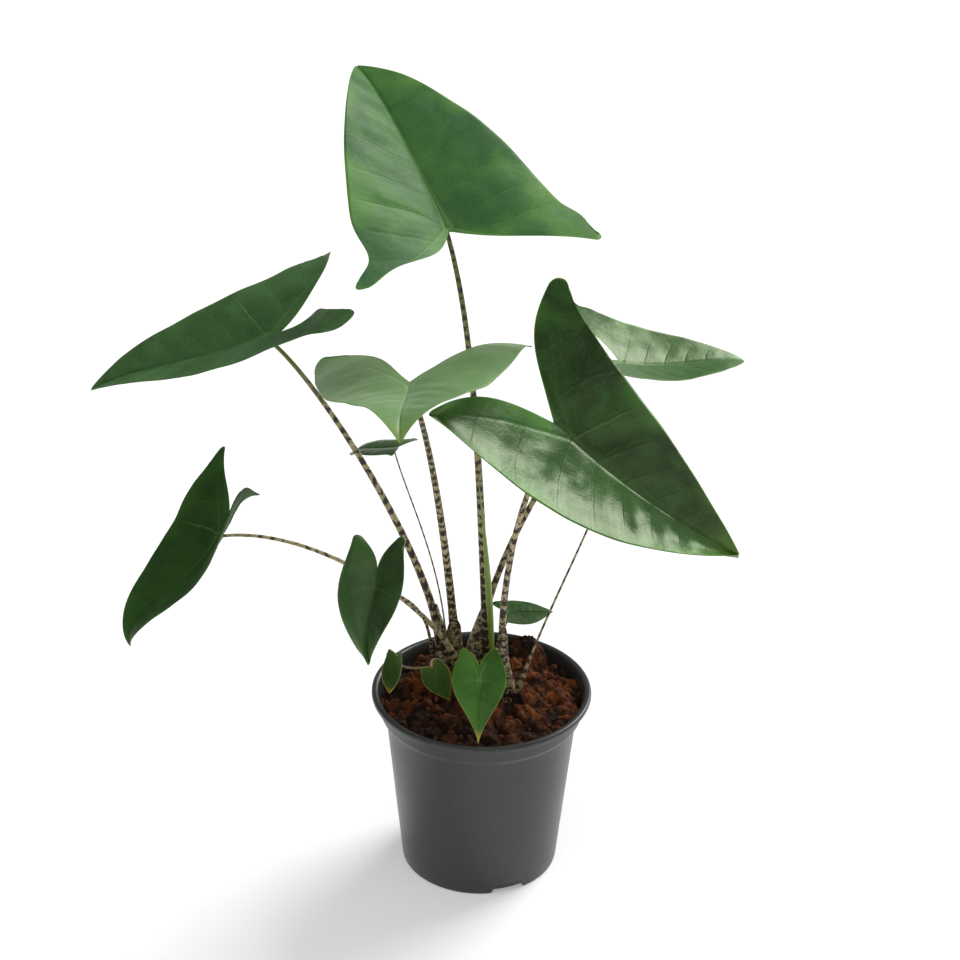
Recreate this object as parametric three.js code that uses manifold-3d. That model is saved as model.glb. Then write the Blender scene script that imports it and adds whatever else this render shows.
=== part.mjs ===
// Potted alocasia: a 17 cm nursery pot filled with soil, three crowns, thirteen leaves on banded stems
// and one rolled new leaf. Millimetres, +Z up. The origin is the centre of the pot's underside, -Y is the
// front of the plant and +X its right.
import * as THREE from 'three';
import { mergeVertices } from 'three/addons/utils/BufferGeometryUtils.js';
import Module from 'manifold-3d';

const wasm = await Module();
wasm.setup();

// Driving dimensions of the pot
const RIM_RADIUS = 85;
const POT_HEIGHT = 152;
const BASE_RADIUS = 61;
const WALL = 2;
const SHOULDER_HEIGHT = 131;
const SHOULDER_STEP = 4.2;
const LIP_HEIGHT = 4.8;
const LIP_WIDTH = 4.6;
const FLOOR_TOP = 4;
const RECESS = 2;
const CENTRE_PAD_RADIUS = 18;
const WALL_SLOPE = 0.1;
const POT_SIDES = 40;
const NOTCH = { width: 26, height: 5, depth: 9, count: 3, firstAngle: -68 };

// Driving dimensions of the planting
const GAP = 0.35; // clearance between pieces that touch
const SOIL_EDGE_HEIGHT = 140;
const SOIL_MOUND = 13;
const CROWN_TOP = 150;
const CROWN_BOTTOM = 124;
const CROWN_EDGE = 1;
const CROWN_TAPER = 4;
const BLADE_THICKNESS = 1;
const RIB_THICKNESS = 1.2; // a midrib's extra depth below a very small blade
const RIB_SHARE = 0.01; // and how it grows with the blade's length
const KNUCKLE_LENGTH = 6; // the stretch of stem that belongs to the blade
const SINUS_SHARE = 0.18; // how much of a blade behind the join goes from the join to the notch
const VEIN_SLANT = 0.13; // how far the side veins run forward, as a share of the outer margin
const PUCKER = 0.011; // depth of the puckered panels between side veins, as a share of half the width
const ROUNDED_FROM = 0.8; // how far along a blade the rounding of its lobe's end begins
const NECK_AT = 0.9; // where along the outer margin a lobe's neck lies
const NECK_REACH = 0.07; // and how far the neck reaches each way
const PLAIN_LOBE = { innerShoulder: 0.8, innerWave: 0, neck: 0, lobeCurl: 0, lobeRoll: 0 };
const RING_SPACING = 24; // the longest stretch of a stem between two of its rings
const SHEATH_SHARE = 0.2; // the lowest share of a stem, over which it swells into its sheath

// Each look is a colour, a roughness and a metalness.
const LOOKS = {
  pot: ['#434547', 0.55, 0],
  soil: ['#5a3320', 0.95, 0],
  crown: ['#6f6146', 0.8, 0],
  stem: ['#8a8566', 0.6, 0],
  freshStem: ['#7f9a3e', 0.5, 0],
  midGreen: ['#4f7a45', 0.42, 0],
  deepGreen: ['#2c5232', 0.4, 0],
  darkGreen: ['#1f3d22', 0.45, 0],
};

const radians = THREE.MathUtils.degToRad;

// ---------------------------------------------------------------- solids and meshes

function weld(geometry) {
  const bare = geometry.index ? geometry.toNonIndexed() : geometry.clone();
  bare.deleteAttribute('normal');
  bare.deleteAttribute('uv');
  const merged = mergeVertices(bare, 1e-3);
  const index = merged.index.array;
  const kept = [];
  for (let i = 0; i < index.length; i += 3) {
    const [a, b, c] = [index[i], index[i + 1], index[i + 2]];
    if (a !== b && b !== c && c !== a) kept.push(a, b, c);
  }
  merged.setIndex(kept);
  return outward(merged);
}

// Turns a closed mesh right side out.
function outward(geometry) {
  const index = geometry.index.array;
  const corner = [new THREE.Vector3(), new THREE.Vector3(), new THREE.Vector3()];
  let volume = 0;
  for (let i = 0; i < index.length; i += 3) {
    corner.forEach((p, k) => p.fromBufferAttribute(geometry.attributes.position, index[i + k]));
    volume += corner[0].dot(corner[1].clone().cross(corner[2]));
  }
  if (volume < 0) {
    const turned = Array.from(index);
    for (let i = 0; i < turned.length; i += 3) [turned[i], turned[i + 1]] = [turned[i + 1], turned[i]];
    geometry.setIndex(turned);
  }
  return geometry;
}

function toSolid(geometry) {
  const welded = weld(geometry);
  return new wasm.Manifold(new wasm.Mesh({
    numProp: 3,
    vertProperties: new Float32Array(welded.attributes.position.array),
    triVerts: new Uint32Array(welded.index.array),
  }));
}

function fromSolid(solid) {
  const mesh = solid.getMesh();
  const geometry = new THREE.BufferGeometry();
  geometry.setAttribute('position', new THREE.BufferAttribute(mesh.vertProperties, 3));
  geometry.setIndex(new THREE.BufferAttribute(mesh.triVerts, 1));
  return geometry;
}

// A closed tube through rings of points, the first and last ring filled with a fan.
function loft(rings) {
  const points = rings.flat();
  const sides = rings[0].length;
  const faces = [];
  for (let r = 0; r + 1 < rings.length; r++) {
    for (let k = 0; k < sides; k++) {
      const a = r * sides + k;
      const b = r * sides + (k + 1) % sides;
      faces.push(a, b, b + sides, a, b + sides, a + sides);
    }
  }
  const last = (rings.length - 1) * sides;
  for (let k = 1; k + 1 < sides; k++) {
    faces.push(0, k + 1, k);
    faces.push(last, last + k, last + k + 1);
  }
  return closedMesh(points, faces);
}

function closedMesh(points, faces) {
  const geometry = new THREE.BufferGeometry();
  geometry.setAttribute('position', new THREE.Float32BufferAttribute(points.flatMap((p) => p.toArray()), 3));
  geometry.setIndex(faces);
  return weld(geometry);
}

// A body of revolution about Z from [radius, height] pairs that start and end on the axis.
function turned(profile, sides) {
  const outline = profile.map(([radius, height]) => new THREE.Vector2(radius, height));
  const geometry = new THREE.LatheGeometry(outline, sides);
  geometry.rotateX(Math.PI / 2);
  return geometry;
}

const plant = new THREE.Group();

function place(name, geometry, look) {
  const [color, roughness, metalness] = LOOKS[look];
  const material = new THREE.MeshStandardMaterial({ color, roughness, metalness });
  const mesh = new THREE.Mesh(geometry, material);
  mesh.name = name;
  plant.add(mesh);
}

// ---------------------------------------------------------------- pot

function wallRadius(height) {
  return BASE_RADIUS + WALL_SLOPE * height + (height > SHOULDER_HEIGHT ? SHOULDER_STEP : 0);
}

// A thin moulded pot: a flat floor with a recess under it, a sloping wall, a stepped collar and a rolled lip.
function potGeometry() {
  const shoulderTop = SHOULDER_HEIGHT + SHOULDER_STEP;
  const lipBottom = POT_HEIGHT - LIP_HEIGHT;
  const collar = wallRadius(lipBottom);
  const lipInner = RIM_RADIUS - LIP_WIDTH;
  const footWidth = 5;
  const outside = [
    [0, 0], [CENTRE_PAD_RADIUS, 0], [CENTRE_PAD_RADIUS + RECESS, RECESS],
    [BASE_RADIUS - footWidth - RECESS, RECESS], [BASE_RADIUS - footWidth, 0], [BASE_RADIUS - 1.5, 0],
    [BASE_RADIUS, 1.5], [wallRadius(SHOULDER_HEIGHT), SHOULDER_HEIGHT],
    [wallRadius(SHOULDER_HEIGHT) + 3, SHOULDER_HEIGHT + 1.2], [wallRadius(shoulderTop), shoulderTop],
    [collar, lipBottom], [RIM_RADIUS - 1, lipBottom], [RIM_RADIUS, lipBottom + 1.2],
    [RIM_RADIUS, POT_HEIGHT - 1.4], [RIM_RADIUS - 1.2, POT_HEIGHT],
  ];
  const inside = [
    [lipInner + 1.6, POT_HEIGHT], [lipInner, POT_HEIGHT - 1.4], [collar - WALL, lipBottom],
    [wallRadius(shoulderTop) - WALL, shoulderTop], [wallRadius(SHOULDER_HEIGHT) - WALL, SHOULDER_HEIGHT],
    [wallRadius(FLOOR_TOP) - WALL, FLOOR_TOP], [0, FLOOR_TOP],
  ];
  let pot = toSolid(turned([...outside, ...inside], POT_SIDES));
  for (let n = 0; n < NOTCH.count; n++) {
    const angle = radians(NOTCH.firstAngle) + n * 2 * Math.PI / NOTCH.count;
    const notch = new THREE.BoxGeometry(NOTCH.depth, NOTCH.width, 2 * NOTCH.height);
    notch.translate(BASE_RADIUS, 0, 0);
    notch.rotateZ(angle);
    pot = pot.subtract(toSolid(notch));
  }
  return fromSolid(pot);
}

place('pot', potGeometry(), 'pot');

// ---------------------------------------------------------------- soil and crowns

const CROWNS = {
  left: { at: [-28, 41], radius: 14.8 },
  middle: { at: [3, 42], radius: 13.8 },
  front: { at: [19, -3], radius: 12.5 },
};

// One heap of coarse chips stands above the rim at the back right.
const HEAP = { at: [36, 60], height: 14, spread: 8 };

// The soil lies low along the wall and mounds up round the crowns, with lumps the size of bark chips.
function soilHeight(x, y) {
  const out = Math.hypot(x, y) / RIM_RADIUS;
  const mound = SOIL_MOUND * (1 - out * out) * (1 + 0.25 * y / RIM_RADIUS);
  const lumps = 1.6 * Math.sin(0.21 * x + 1.3) * Math.cos(0.17 * y - 0.6)
    + 1.1 * Math.sin(0.37 * x - 0.31 * y) + 0.8 * Math.cos(0.11 * x + 0.43 * y);
  const fromHeap = Math.hypot(x - HEAP.at[0], y - HEAP.at[1]) / HEAP.spread;
  return SOIL_EDGE_HEIGHT + mound + lumps + HEAP.height * Math.exp(-fromHeap * fromHeap / 2);
}

function soilGeometry() {
  const ringShares = [0.9, 0.8, 0.69, 0.56, 0.42, 0.28, 0.14];
  const ringAt = (radius, height) => {
    const ring = [];
    for (let k = 0; k < POT_SIDES; k++) {
      const angle = k * 2 * Math.PI / POT_SIDES - Math.PI / 2;
      const [x, y] = [radius * Math.cos(angle), radius * Math.sin(angle)];
      ring.push(new THREE.Vector3(x, y, height ?? soilHeight(x, y)));
    }
    return ring;
  };
  const inner = WALL + GAP;
  const shoulderTop = SHOULDER_HEIGHT + SHOULDER_STEP;
  const edge = wallRadius(shoulderTop) - inner;
  const rings = [
    ringAt(wallRadius(FLOOR_TOP) - inner, FLOOR_TOP + GAP),
    ringAt(wallRadius(SHOULDER_HEIGHT) - inner, SHOULDER_HEIGHT),
    ringAt(edge, shoulderTop),
    ringAt(edge),
    ...ringShares.map((share) => ringAt(share * edge)),
  ];
  let soil = toSolid(loft(rings));
  for (const { at: [x, y], radius } of Object.values(CROWNS)) {
    const hole = new THREE.CylinderGeometry(radius + GAP, radius + GAP, 2 * (CROWN_TOP - CROWN_BOTTOM), 24);
    hole.rotateX(Math.PI / 2);
    hole.translate(x, y, CROWN_TOP - GAP);
    soil = soil.subtract(toSolid(hole));
  }
  return fromSolid(soil);
}

function crownGeometry({ at: [x, y], radius }) {
  const crown = turned([
    [0, CROWN_BOTTOM], [radius - CROWN_TAPER, CROWN_BOTTOM], [radius, CROWN_BOTTOM + CROWN_TAPER],
    [radius, CROWN_TOP - CROWN_EDGE], [radius - CROWN_EDGE, CROWN_TOP], [0, CROWN_TOP],
  ], 20);
  crown.translate(x, y, 0);
  return weld(crown);
}

place('soil', soilGeometry(), 'soil');
for (const [name, crown] of Object.entries(CROWNS)) place(`crown_${name}`, crownGeometry(crown), 'crown');

// ---------------------------------------------------------------- leaves

// One entry a leaf. join is where its blade sits on the stem, and heading is the way its tip points, in
// degrees clockwise from straight back seen from above. rise tips the blade up from level and roll lowers
// its right half. length runs from the join to the tip, halfWidth and lobe to the end of a back lobe, and
// sinus to the bottom of the notch. The bulges bow the margins out, most near the lobes where shoulder is
// large. dish bends the blade up along its length and tipDroop down again at the tip, fold is the V at the
// midrib and marginDroop opens it again towards the margin. What differs between the two halves stands
// under leftHalf and rightHalf: lobeEnd is the width of the lobe's end, innerWave and neck shape its inner
// and outer margin, lobeLift bends it up from the notch, lobeCurl bends its end and lobeRoll turns it about
// its own length. The stem goes from its foot past two pulls to the join, with the radii of its foot, its
// middle and its top.
const LEAVES = {
  top: {
    join: [-30, 30, 523], heading: -27, rise: 33, roll: 3, look: 'midGreen',
    length: 171, halfWidth: 99, lobe: 56, sinus: 4, shoulder: 0.87, innerShoulder: 0.93,
    dish: -8, tipDroop: 17, fold: 25, marginDroop: 29, twist: -4,
    leftHalf: {
      lobeEnd: 12, outerBulge: 0.066, innerBulge: 0.068, innerWave: -0.028, neck: 0.024,
      lobeLift: 0, lobeCurl: -26, lobeRoll: -19,
    },
    rightHalf: {
      lobeEnd: 8, outerBulge: 0.069, innerBulge: 0.014, innerWave: 0.005, neck: -0.027,
      lobeLift: -27, lobeCurl: 5, lobeRoll: 3,
    },
    foot: [5, 39.5], pulls: [[-4, 39, 294], [-6, 34, 434]], radii: [4.4, 3.6, 1.7],
  },
  left: {
    join: [-159, 10, 443], heading: -92, rise: -20, roll: -3, look: 'deepGreen',
    length: 137, halfWidth: 76, lobe: 61, sinus: 7, shoulder: 0.86, innerShoulder: 0.61,
    dish: 15, tipDroop: 27, fold: 30, marginDroop: 28, twist: 16,
    leftHalf: {
      lobeEnd: 12, outerBulge: 0.088, innerBulge: 0.114, innerWave: 0.007, neck: 0.045,
      lobeLift: 11, lobeCurl: 11, lobeRoll: -29,
    },
    rightHalf: {
      lobeEnd: 18, outerBulge: 0.024, innerBulge: 0.043, innerWave: 0.015, neck: -0.023,
      lobeLift: 0, lobeCurl: -31, lobeRoll: -6,
    },
    foot: [-31.5, 37.5], pulls: [[-29, 26, 237], [-126, 32, 404]], radii: [5, 3.4, 1.5],
  },
  centre: {
    join: [-54, -70, 444], heading: 182, rise: 6, roll: 11, look: 'midGreen',
    length: 102, halfWidth: 84, lobe: 98, sinus: 10, shoulder: 1.1, innerShoulder: 1.21,
    dish: 24, tipDroop: 77, fold: 14, marginDroop: 46, twist: 10,
    leftHalf: {
      lobeEnd: 10, outerBulge: 0.08, innerBulge: 0.021, innerWave: -0.048, neck: 0.026,
      lobeLift: 19, lobeCurl: 13, lobeRoll: 3,
    },
    rightHalf: {
      lobeEnd: 13, outerBulge: 0.055, innerBulge: 0.141, innerWave: -0.011, neck: -0.006,
      lobeLift: -16, lobeCurl: -14, lobeRoll: 17,
    },
    foot: [-20, 45], pulls: [[-26, 22, 251], [-40, -24, 391]], radii: [4.6, 3.6, 1.8],
  },
  right: {
    join: [62, -50, 394], heading: 108, rise: -38, roll: 24, look: 'deepGreen',
    length: 145, halfWidth: 80, lobe: 93, sinus: 18, shoulder: 0.88, innerShoulder: 1.01,
    dish: 27, tipDroop: 0, fold: 13, marginDroop: 4, twist: -5,
    leftHalf: {
      lobeEnd: 18, outerBulge: 0.066, innerBulge: 0.083, innerWave: -0.02, neck: 0.004,
      lobeLift: -26, lobeCurl: -11, lobeRoll: 9,
    },
    rightHalf: {
      lobeEnd: 6, outerBulge: 0.096, innerBulge: 0.14, innerWave: 0, neck: 0.002,
      lobeLift: 1, lobeCurl: -11, lobeRoll: 0,
    },
    foot: [19, 1], pulls: [[6, -9, 213], [25, -30, 380]], radii: [5.2, 3, 1.8],
  },
  back: {
    join: [105, 90, 390], heading: 68, rise: -18, roll: 11, look: 'midGreen',
    length: 103, halfWidth: 49, lobe: 64, sinus: 5, shoulder: 0.84, innerShoulder: 0.71,
    dish: 38, tipDroop: 43, fold: 7, marginDroop: -25, twist: 5,
    leftHalf: {
      lobeEnd: 12, outerBulge: 0.078, innerBulge: 0.108, innerWave: -0.02, neck: 0.027,
      lobeLift: -27, lobeCurl: -18, lobeRoll: 8,
    },
    rightHalf: {
      lobeEnd: 8, outerBulge: 0.138, innerBulge: 0.106, innerWave: 0.011, neck: -0.008,
      lobeLift: -13, lobeCurl: 1, lobeRoll: -2,
    },
    foot: [-3.5, 46.5], pulls: [[3, 57, 245], [70, 77, 335]], radii: [4.8, 3, 1.5],
  },
  low: {
    join: [-199, 0, 284], heading: -123, rise: -55, roll: 11, look: 'darkGreen',
    length: 112, halfWidth: 57, lobe: 44, sinus: 17, shoulder: 1.06, innerShoulder: 0.72,
    dish: 66, tipDroop: 117, fold: 18, marginDroop: -12, twist: 20,
    leftHalf: {
      lobeEnd: 13, outerBulge: 0.117, innerBulge: -0.067, innerWave: 0.006, neck: -0.012,
      lobeLift: 30, lobeCurl: -14, lobeRoll: 33,
    },
    rightHalf: {
      lobeEnd: 6, outerBulge: 0.057, innerBulge: 0.055, innerWave: 0.015, neck: 0.043,
      lobeLift: 31, lobeCurl: 19, lobeRoll: -16,
    },
    foot: [-20.5, 33.8], pulls: [[-22, -9, 216], [-122, 23, 282]], radii: [4, 2.2, 1.2],
  },
  young: {
    join: [-80, -50, 269], heading: 190, rise: -48, roll: 23, look: 'darkGreen',
    length: 57, halfWidth: 23, lobe: 37, lobeEnd: 4, sinus: 15,
    outerBulge: 0.166, innerBulge: 0.11, shoulder: 1.2,
    dish: 6, tipDroop: 58, fold: 15, marginDroop: 5, twist: -3,
    leftHalf: { lobeLift: -1 }, rightHalf: { lobeLift: 23 },
    foot: [-38, 42], pulls: [[-42, 24, 184], [-38, -18, 242]], radii: [2, 1.3, 1],
  },
  edge: {
    join: [-71, 90, 314], heading: -61, rise: -17, roll: 4, look: 'darkGreen',
    length: 43, halfWidth: 20, lobe: 10.5, lobeEnd: 3.5, sinus: 3.7,
    outerBulge: 0.156, innerBulge: 0.1, shoulder: 0.85,
    dish: 3, tipDroop: 42, fold: 18, marginDroop: 35, twist: 1,
    leftHalf: { lobeLift: 9 }, rightHalf: { lobeLift: 14 },
    foot: [-28, 52], pulls: [[-30, 61, 224], [-59, 74, 275]], radii: [1.3, 0.7, 0.6],
  },
  shade: {
    join: [22, 75, 176], heading: 73, rise: -11, roll: 4, look: 'darkGreen',
    length: 36.5, halfWidth: 15.5, lobe: 11, lobeEnd: 2, sinus: 4,
    outerBulge: 0.164, innerBulge: 0.07, shoulder: 1.1,
    dish: 6, tipDroop: 3, fold: 7, marginDroop: 15, twist: -3,
    leftHalf: { lobeLift: 34 }, rightHalf: { lobeLift: -4 },
    foot: [12, 45.5], pulls: [[13, 50, 165], [18, 68, 166]], radii: [1.3, 1, 0.8],
  },
  hidden: {
    join: [95, 30, 330], heading: 60, rise: -25, roll: 0, look: 'darkGreen',
    length: 44, halfWidth: 22, lobe: 22, lobeEnd: 3.5, sinus: 5,
    outerBulge: 0.1, innerBulge: 0.1, shoulder: 1,
    dish: 10, tipDroop: 30, fold: 15, marginDroop: 10, twist: 0,
    leftHalf: { lobeLift: 5 }, rightHalf: { lobeLift: 5 },
    foot: [27, -6], pulls: [[50, 2, 228], [80, 16, 279]], radii: [2.8, 1, 0.7],
  },
  heart: {
    join: [-2, -45, 187], heading: 180, rise: -42, roll: 1, look: 'midGreen',
    length: 48, halfWidth: 13.3, lobe: 26, lobeEnd: 3.5, sinus: 11,
    outerBulge: 0.16, innerBulge: 0.095, shoulder: 1.65,
    dish: 0, tipDroop: 8, fold: 6, marginDroop: 16, twist: 0,
    leftHalf: { lobeLift: 10 }, rightHalf: { lobeLift: 10 },
    foot: [13, -9], pulls: [[12, -14, 172], [4, -32, 184]], radii: [1.9, 1.3, 1],
  },
  bud: {
    join: [-35, -20, 175], heading: 139, rise: -40, roll: 32, look: 'darkGreen',
    length: 24, halfWidth: 8, lobe: 11, lobeEnd: 1.2, sinus: 6.5,
    outerBulge: 0.175, innerBulge: 0.1, shoulder: 1.5,
    dish: -40, tipDroop: 10, fold: 5, marginDroop: 14, twist: 0,
    leftHalf: { lobeLift: 12 }, rightHalf: { lobeLift: 12 },
    foot: [-26, 28.5], pulls: [[-33, 17, 173], [-45, -4, 182]], radii: [1.2, 0.9, 0.8],
  },
  rim: {
    join: [-65, -10, 179], heading: 179, rise: -59, roll: 49, look: 'darkGreen',
    length: 24, halfWidth: 8, lobe: 10, lobeEnd: 1.2, sinus: 5.5,
    outerBulge: 0.27, innerBulge: 0.14, shoulder: 0.9,
    dish: 31, tipDroop: -18, fold: 16, marginDroop: -10, twist: -7,
    leftHalf: { lobeLift: 12 }, rightHalf: { lobeLift: 20 },
    foot: [-36, 30.5], pulls: [[-40, 18, 163], [-52, 2, 162]], radii: [1.4, 0.9, 0.8],
  },
};

// How far along a blade its join lies, from the tip (0) to the ends of the lobes (1).
function joinShareOf(leaf) {
  return leaf.length / (leaf.length + leaf.lobe);
}

// The values of one half of a leaf: its own where it has them, otherwise those of the whole leaf.
function halfOf(leaf, side) {
  return { ...PLAIN_LOBE, ...leaf, ...(side > 0 ? leaf.rightHalf : leaf.leftHalf) };
}

// One half of a blade laid flat, as the right half. s runs from the tip (0) to the end of the back lobe (1),
// and t from the midrib or the lobe's inner margin (0) to the outer margin (1).
function flatPoint(half, s, t) {
  const tip = new THREE.Vector2(0, half.length);
  const sinus = new THREE.Vector2(0, -half.sinus);
  const lobeTip = new THREE.Vector2(half.halfWidth, -half.lobe);
  const out = lobeTip.clone().sub(sinus).normalize();
  const inward = new THREE.Vector2(out.y, -out.x);
  const endRadius = half.lobeEnd / 2;
  const centre = lobeTip.clone().addScaledVector(out, -endRadius);

  const outerEnd = centre.clone().addScaledVector(inward, -endRadius);
  const along = s - VEIN_SLANT * Math.sin(Math.PI * s);
  const neck = half.neck * Math.exp(-(((along - NECK_AT) / NECK_REACH) ** 2));
  const outerBow = half.outerBulge * Math.sin(Math.PI * along ** half.shoulder) - neck;
  const outer = bowed(tip, outerEnd, along, outerBow);

  const join = joinShareOf(half);
  const rest = (s - join) / (1 - join);
  let inner;
  if (rest <= 0) {
    inner = new THREE.Vector2(0, half.length * (1 - s / join));
  } else if (rest <= SINUS_SHARE) {
    inner = new THREE.Vector2(0, -half.sinus * rest / SINUS_SHARE);
  } else {
    const run = (rest - SINUS_SHARE) / (1 - SINUS_SHARE);
    const innerEnd = centre.clone().addScaledVector(inward, endRadius);
    const bulge = half.innerBulge * Math.sin(Math.PI * run ** half.innerShoulder);
    inner = bowed(sinus, innerEnd, run, -bulge - half.innerWave * Math.sin(2 * Math.PI * run));
  }
  const towardsEnd = Math.max(0, (s - ROUNDED_FROM) / (1 - ROUNDED_FROM));
  const rounding = endRadius * towardsEnd ** 3 * Math.sqrt(Math.max(0, 1 - (2 * t - 1) ** 2));
  return inner.lerp(outer, t).addScaledVector(out, rounding);
}

// A point on the line from a to b, pushed to the line's left by a share of its length.
function bowed(a, b, run, bow) {
  const line = b.clone().sub(a);
  return a.clone().addScaledVector(line, run).addScaledVector(new THREE.Vector2(-line.y, line.x), bow);
}

// Where a flat strip of the given length ends up when it bends by angleAt(distance) along the way.
function bend(length, angleAt) {
  const steps = 24;
  let [ahead, up] = [0, 0];
  for (let k = 0; k < steps; k++) {
    const angle = angleAt(length * (k + 0.5) / steps);
    ahead += Math.cos(angle) * length / steps;
    up += Math.sin(angle) * length / steps;
  }
  return [ahead, up];
}

// A point of the blade's upper face. side is 1 for the right half and -1 for the left.
function bladePoint(leaf, side, s, t, lift = 0) {
  const half = halfOf(leaf, side);
  const flat = flatPoint(half, s, t);
  const behindAt = (y) => Math.max(0, -y - half.sinus) / (half.lobe - half.sinus);
  const slope = (y) => {
    const ahead = y / half.length;
    if (y >= 0) return radians(half.dish) * ahead - radians(half.tipDroop) * ahead ** 4;
    return radians(half.lobeLift) * behindAt(y) + radians(half.lobeCurl) * behindAt(y) ** 5;
  };
  const [ahead, up] = bend(flat.y, slope);
  const pitch = slope(flat.y);
  const [across, rise] = bend(flat.x, (x) => radians(half.fold - half.marginDroop * x / half.halfWidth));
  const behind = behindAt(flat.y);
  const roll = Math.tan(radians(half.lobeRoll) * Math.min(1, behind) ** 2);
  const height = rise + lift + roll * (across - half.halfWidth * behind);
  const twist = radians(half.twist) * flat.y / half.length;
  const x = side * across * Math.cos(twist) - height * Math.sin(twist);
  const z = side * across * Math.sin(twist) + height * Math.cos(twist);
  const local = new THREE.Vector3(x, ahead - Math.sin(pitch) * z, up + Math.cos(pitch) * z);
  return local.applyMatrix4(bladeFrame(leaf));
}

// The blade's own frame: +Y from the join to the tip, +X to its right and +Z out of its upper face.
function bladeFrame(leaf) {
  const [heading, rise, roll] = [leaf.heading, leaf.rise, leaf.roll].map(radians);
  const turn = new THREE.Matrix4().makeRotationZ(-heading);
  turn.multiply(new THREE.Matrix4().makeRotationX(rise));
  turn.multiply(new THREE.Matrix4().makeRotationY(roll));
  return new THREE.Matrix4().makeTranslation(...leaf.join).multiply(turn);
}

function ribDepth(leaf) {
  return RIB_THICKNESS + RIB_SHARE * leaf.length;
}

// The rows of a blade, as shares of the way from its tip to the end of its lobes. One row lies at the join
// and one at the bottom of the notch between the lobes.
function rowsOf(leaf) {
  const [ahead, behind] = leaf.length > 80 ? [12, 8] : [7, 4];
  const join = joinShareOf(leaf);
  const notch = join + SINUS_SHARE * (1 - join);
  const rows = [];
  for (let row = 0; row <= ahead; row++) rows.push(join * (row / ahead));
  for (let row = 0; row <= behind; row++) rows.push(notch + (1 - notch) * row / behind);
  return rows;
}

// The blade is one closed sheet: an upper face, an under face the blade's thickness below it along the
// normals, and a margin. Every second row is a side vein, and the panels between them stand a little proud.
function sheetGeometry(leaf) {
  const columns = leaf.length > 80 ? [0, 0.08, 0.3, 0.55, 0.8, 1] : [0, 0.12, 0.45, 0.75, 1];
  const rows = rowsOf(leaf);
  const join = joinShareOf(leaf);
  const points = [];
  const depths = [];
  const known = new Map();
  const corner = (side, row, column) => {
    const s = rows[row];
    const t = columns[column];
    const panel = row % 2 ? PUCKER * leaf.halfWidth * Math.sin(Math.PI * t) * Math.sin(Math.PI * s) : 0;
    const point = bladePoint(leaf, side, s, t, panel);
    const key = point.toArray().map((value) => Math.round(value * 50)).join();
    if (!known.has(key)) {
      known.set(key, points.length);
      points.push(point);
      const midrib = column === 0 && s <= join;
      depths.push(BLADE_THICKNESS + (midrib ? ribDepth(leaf) * Math.min(1, s / join + 0.1) : 0));
    }
    return known.get(key);
  };
  const upper = [];
  const face = (side, a, b, c) => {
    if (a !== b && b !== c && c !== a) upper.push(side > 0 ? [a, b, c] : [a, c, b]);
  };
  for (const side of [1, -1]) {
    for (let row = 0; row + 1 < rows.length; row++) {
      for (let column = 0; column + 1 < columns.length; column++) {
        const [a, b] = [corner(side, row, column), corner(side, row + 1, column)];
        const [c, d] = [corner(side, row + 1, column + 1), corner(side, row, column + 1)];
        face(side, a, b, c);
        face(side, a, c, d);
      }
    }
  }
  return thicken(points, depths, upper);
}

// Closes a sheet of triangles into a solid that reaches down from it by each point's own depth.
function thicken(points, depths, upper) {
  const normals = points.map(() => new THREE.Vector3());
  const edges = new Set();
  for (const [a, b, c] of upper) {
    const normal = points[b].clone().sub(points[a]).cross(points[c].clone().sub(points[a]));
    [a, b, c].forEach((k) => normals[k].add(normal));
    [[a, b], [b, c], [c, a]].forEach(([from, to]) => edges.add(`${from},${to}`));
  }
  const under = points.map((point, k) => point.clone().addScaledVector(normals[k].normalize(), -depths[k]));
  const count = points.length;
  const faces = [];
  for (const [a, b, c] of upper) {
    faces.push(a, b, c);
    faces.push(a + count, c + count, b + count);
  }
  for (const edge of edges) {
    const [a, b] = edge.split(',').map(Number);
    if (!edges.has(`${b},${a}`)) faces.push(b, a, a + count, b, a + count, b + count);
  }
  return closedMesh([...points, ...under], faces);
}

// The stem's centre line, which ends inside the midrib just below the join.
function stemCurve(leaf) {
  const upperFace = new THREE.Vector3(0, 0, 1).transformDirection(bladeFrame(leaf));
  const intoRib = BLADE_THICKNESS + 0.4 * ribDepth(leaf);
  const end = new THREE.Vector3(...leaf.join).addScaledVector(upperFace, -intoRib);
  const [firstPull, secondPull] = leaf.pulls.map((pull) => new THREE.Vector3(...pull));
  const foot = new THREE.Vector3(...leaf.foot, CROWN_TOP + GAP);
  return new THREE.CubicBezierCurve3(foot, firstPull, secondPull, end);
}

// A round rod along a curve, between two shares of its length. Its first ring is level where it starts at
// the foot, so that it stands on the crown.
function rodGeometry(curve, radiusAt, sides, from = 0, to = 1) {
  const count = Math.max(2, Math.ceil((to - from) * curve.getLength() / RING_SPACING));
  const rings = [];
  for (let n = 0; n <= count; n++) {
    const share = from + (to - from) * n / count;
    const centre = curve.getPointAt(share);
    const along = share === 0 ? new THREE.Vector3(0, 0, 1) : curve.getTangentAt(share);
    const across = new THREE.Vector3(0, 1, 0).cross(along).normalize();
    const beside = along.clone().cross(across);
    const ring = [];
    for (let k = 0; k < sides; k++) {
      const angle = k * 2 * Math.PI / sides;
      ring.push(centre.clone().addScaledVector(across, radiusAt(share) * Math.cos(angle))
        .addScaledVector(beside, radiusAt(share) * Math.sin(angle)));
    }
    rings.push(ring);
  }
  return loft(rings);
}

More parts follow.
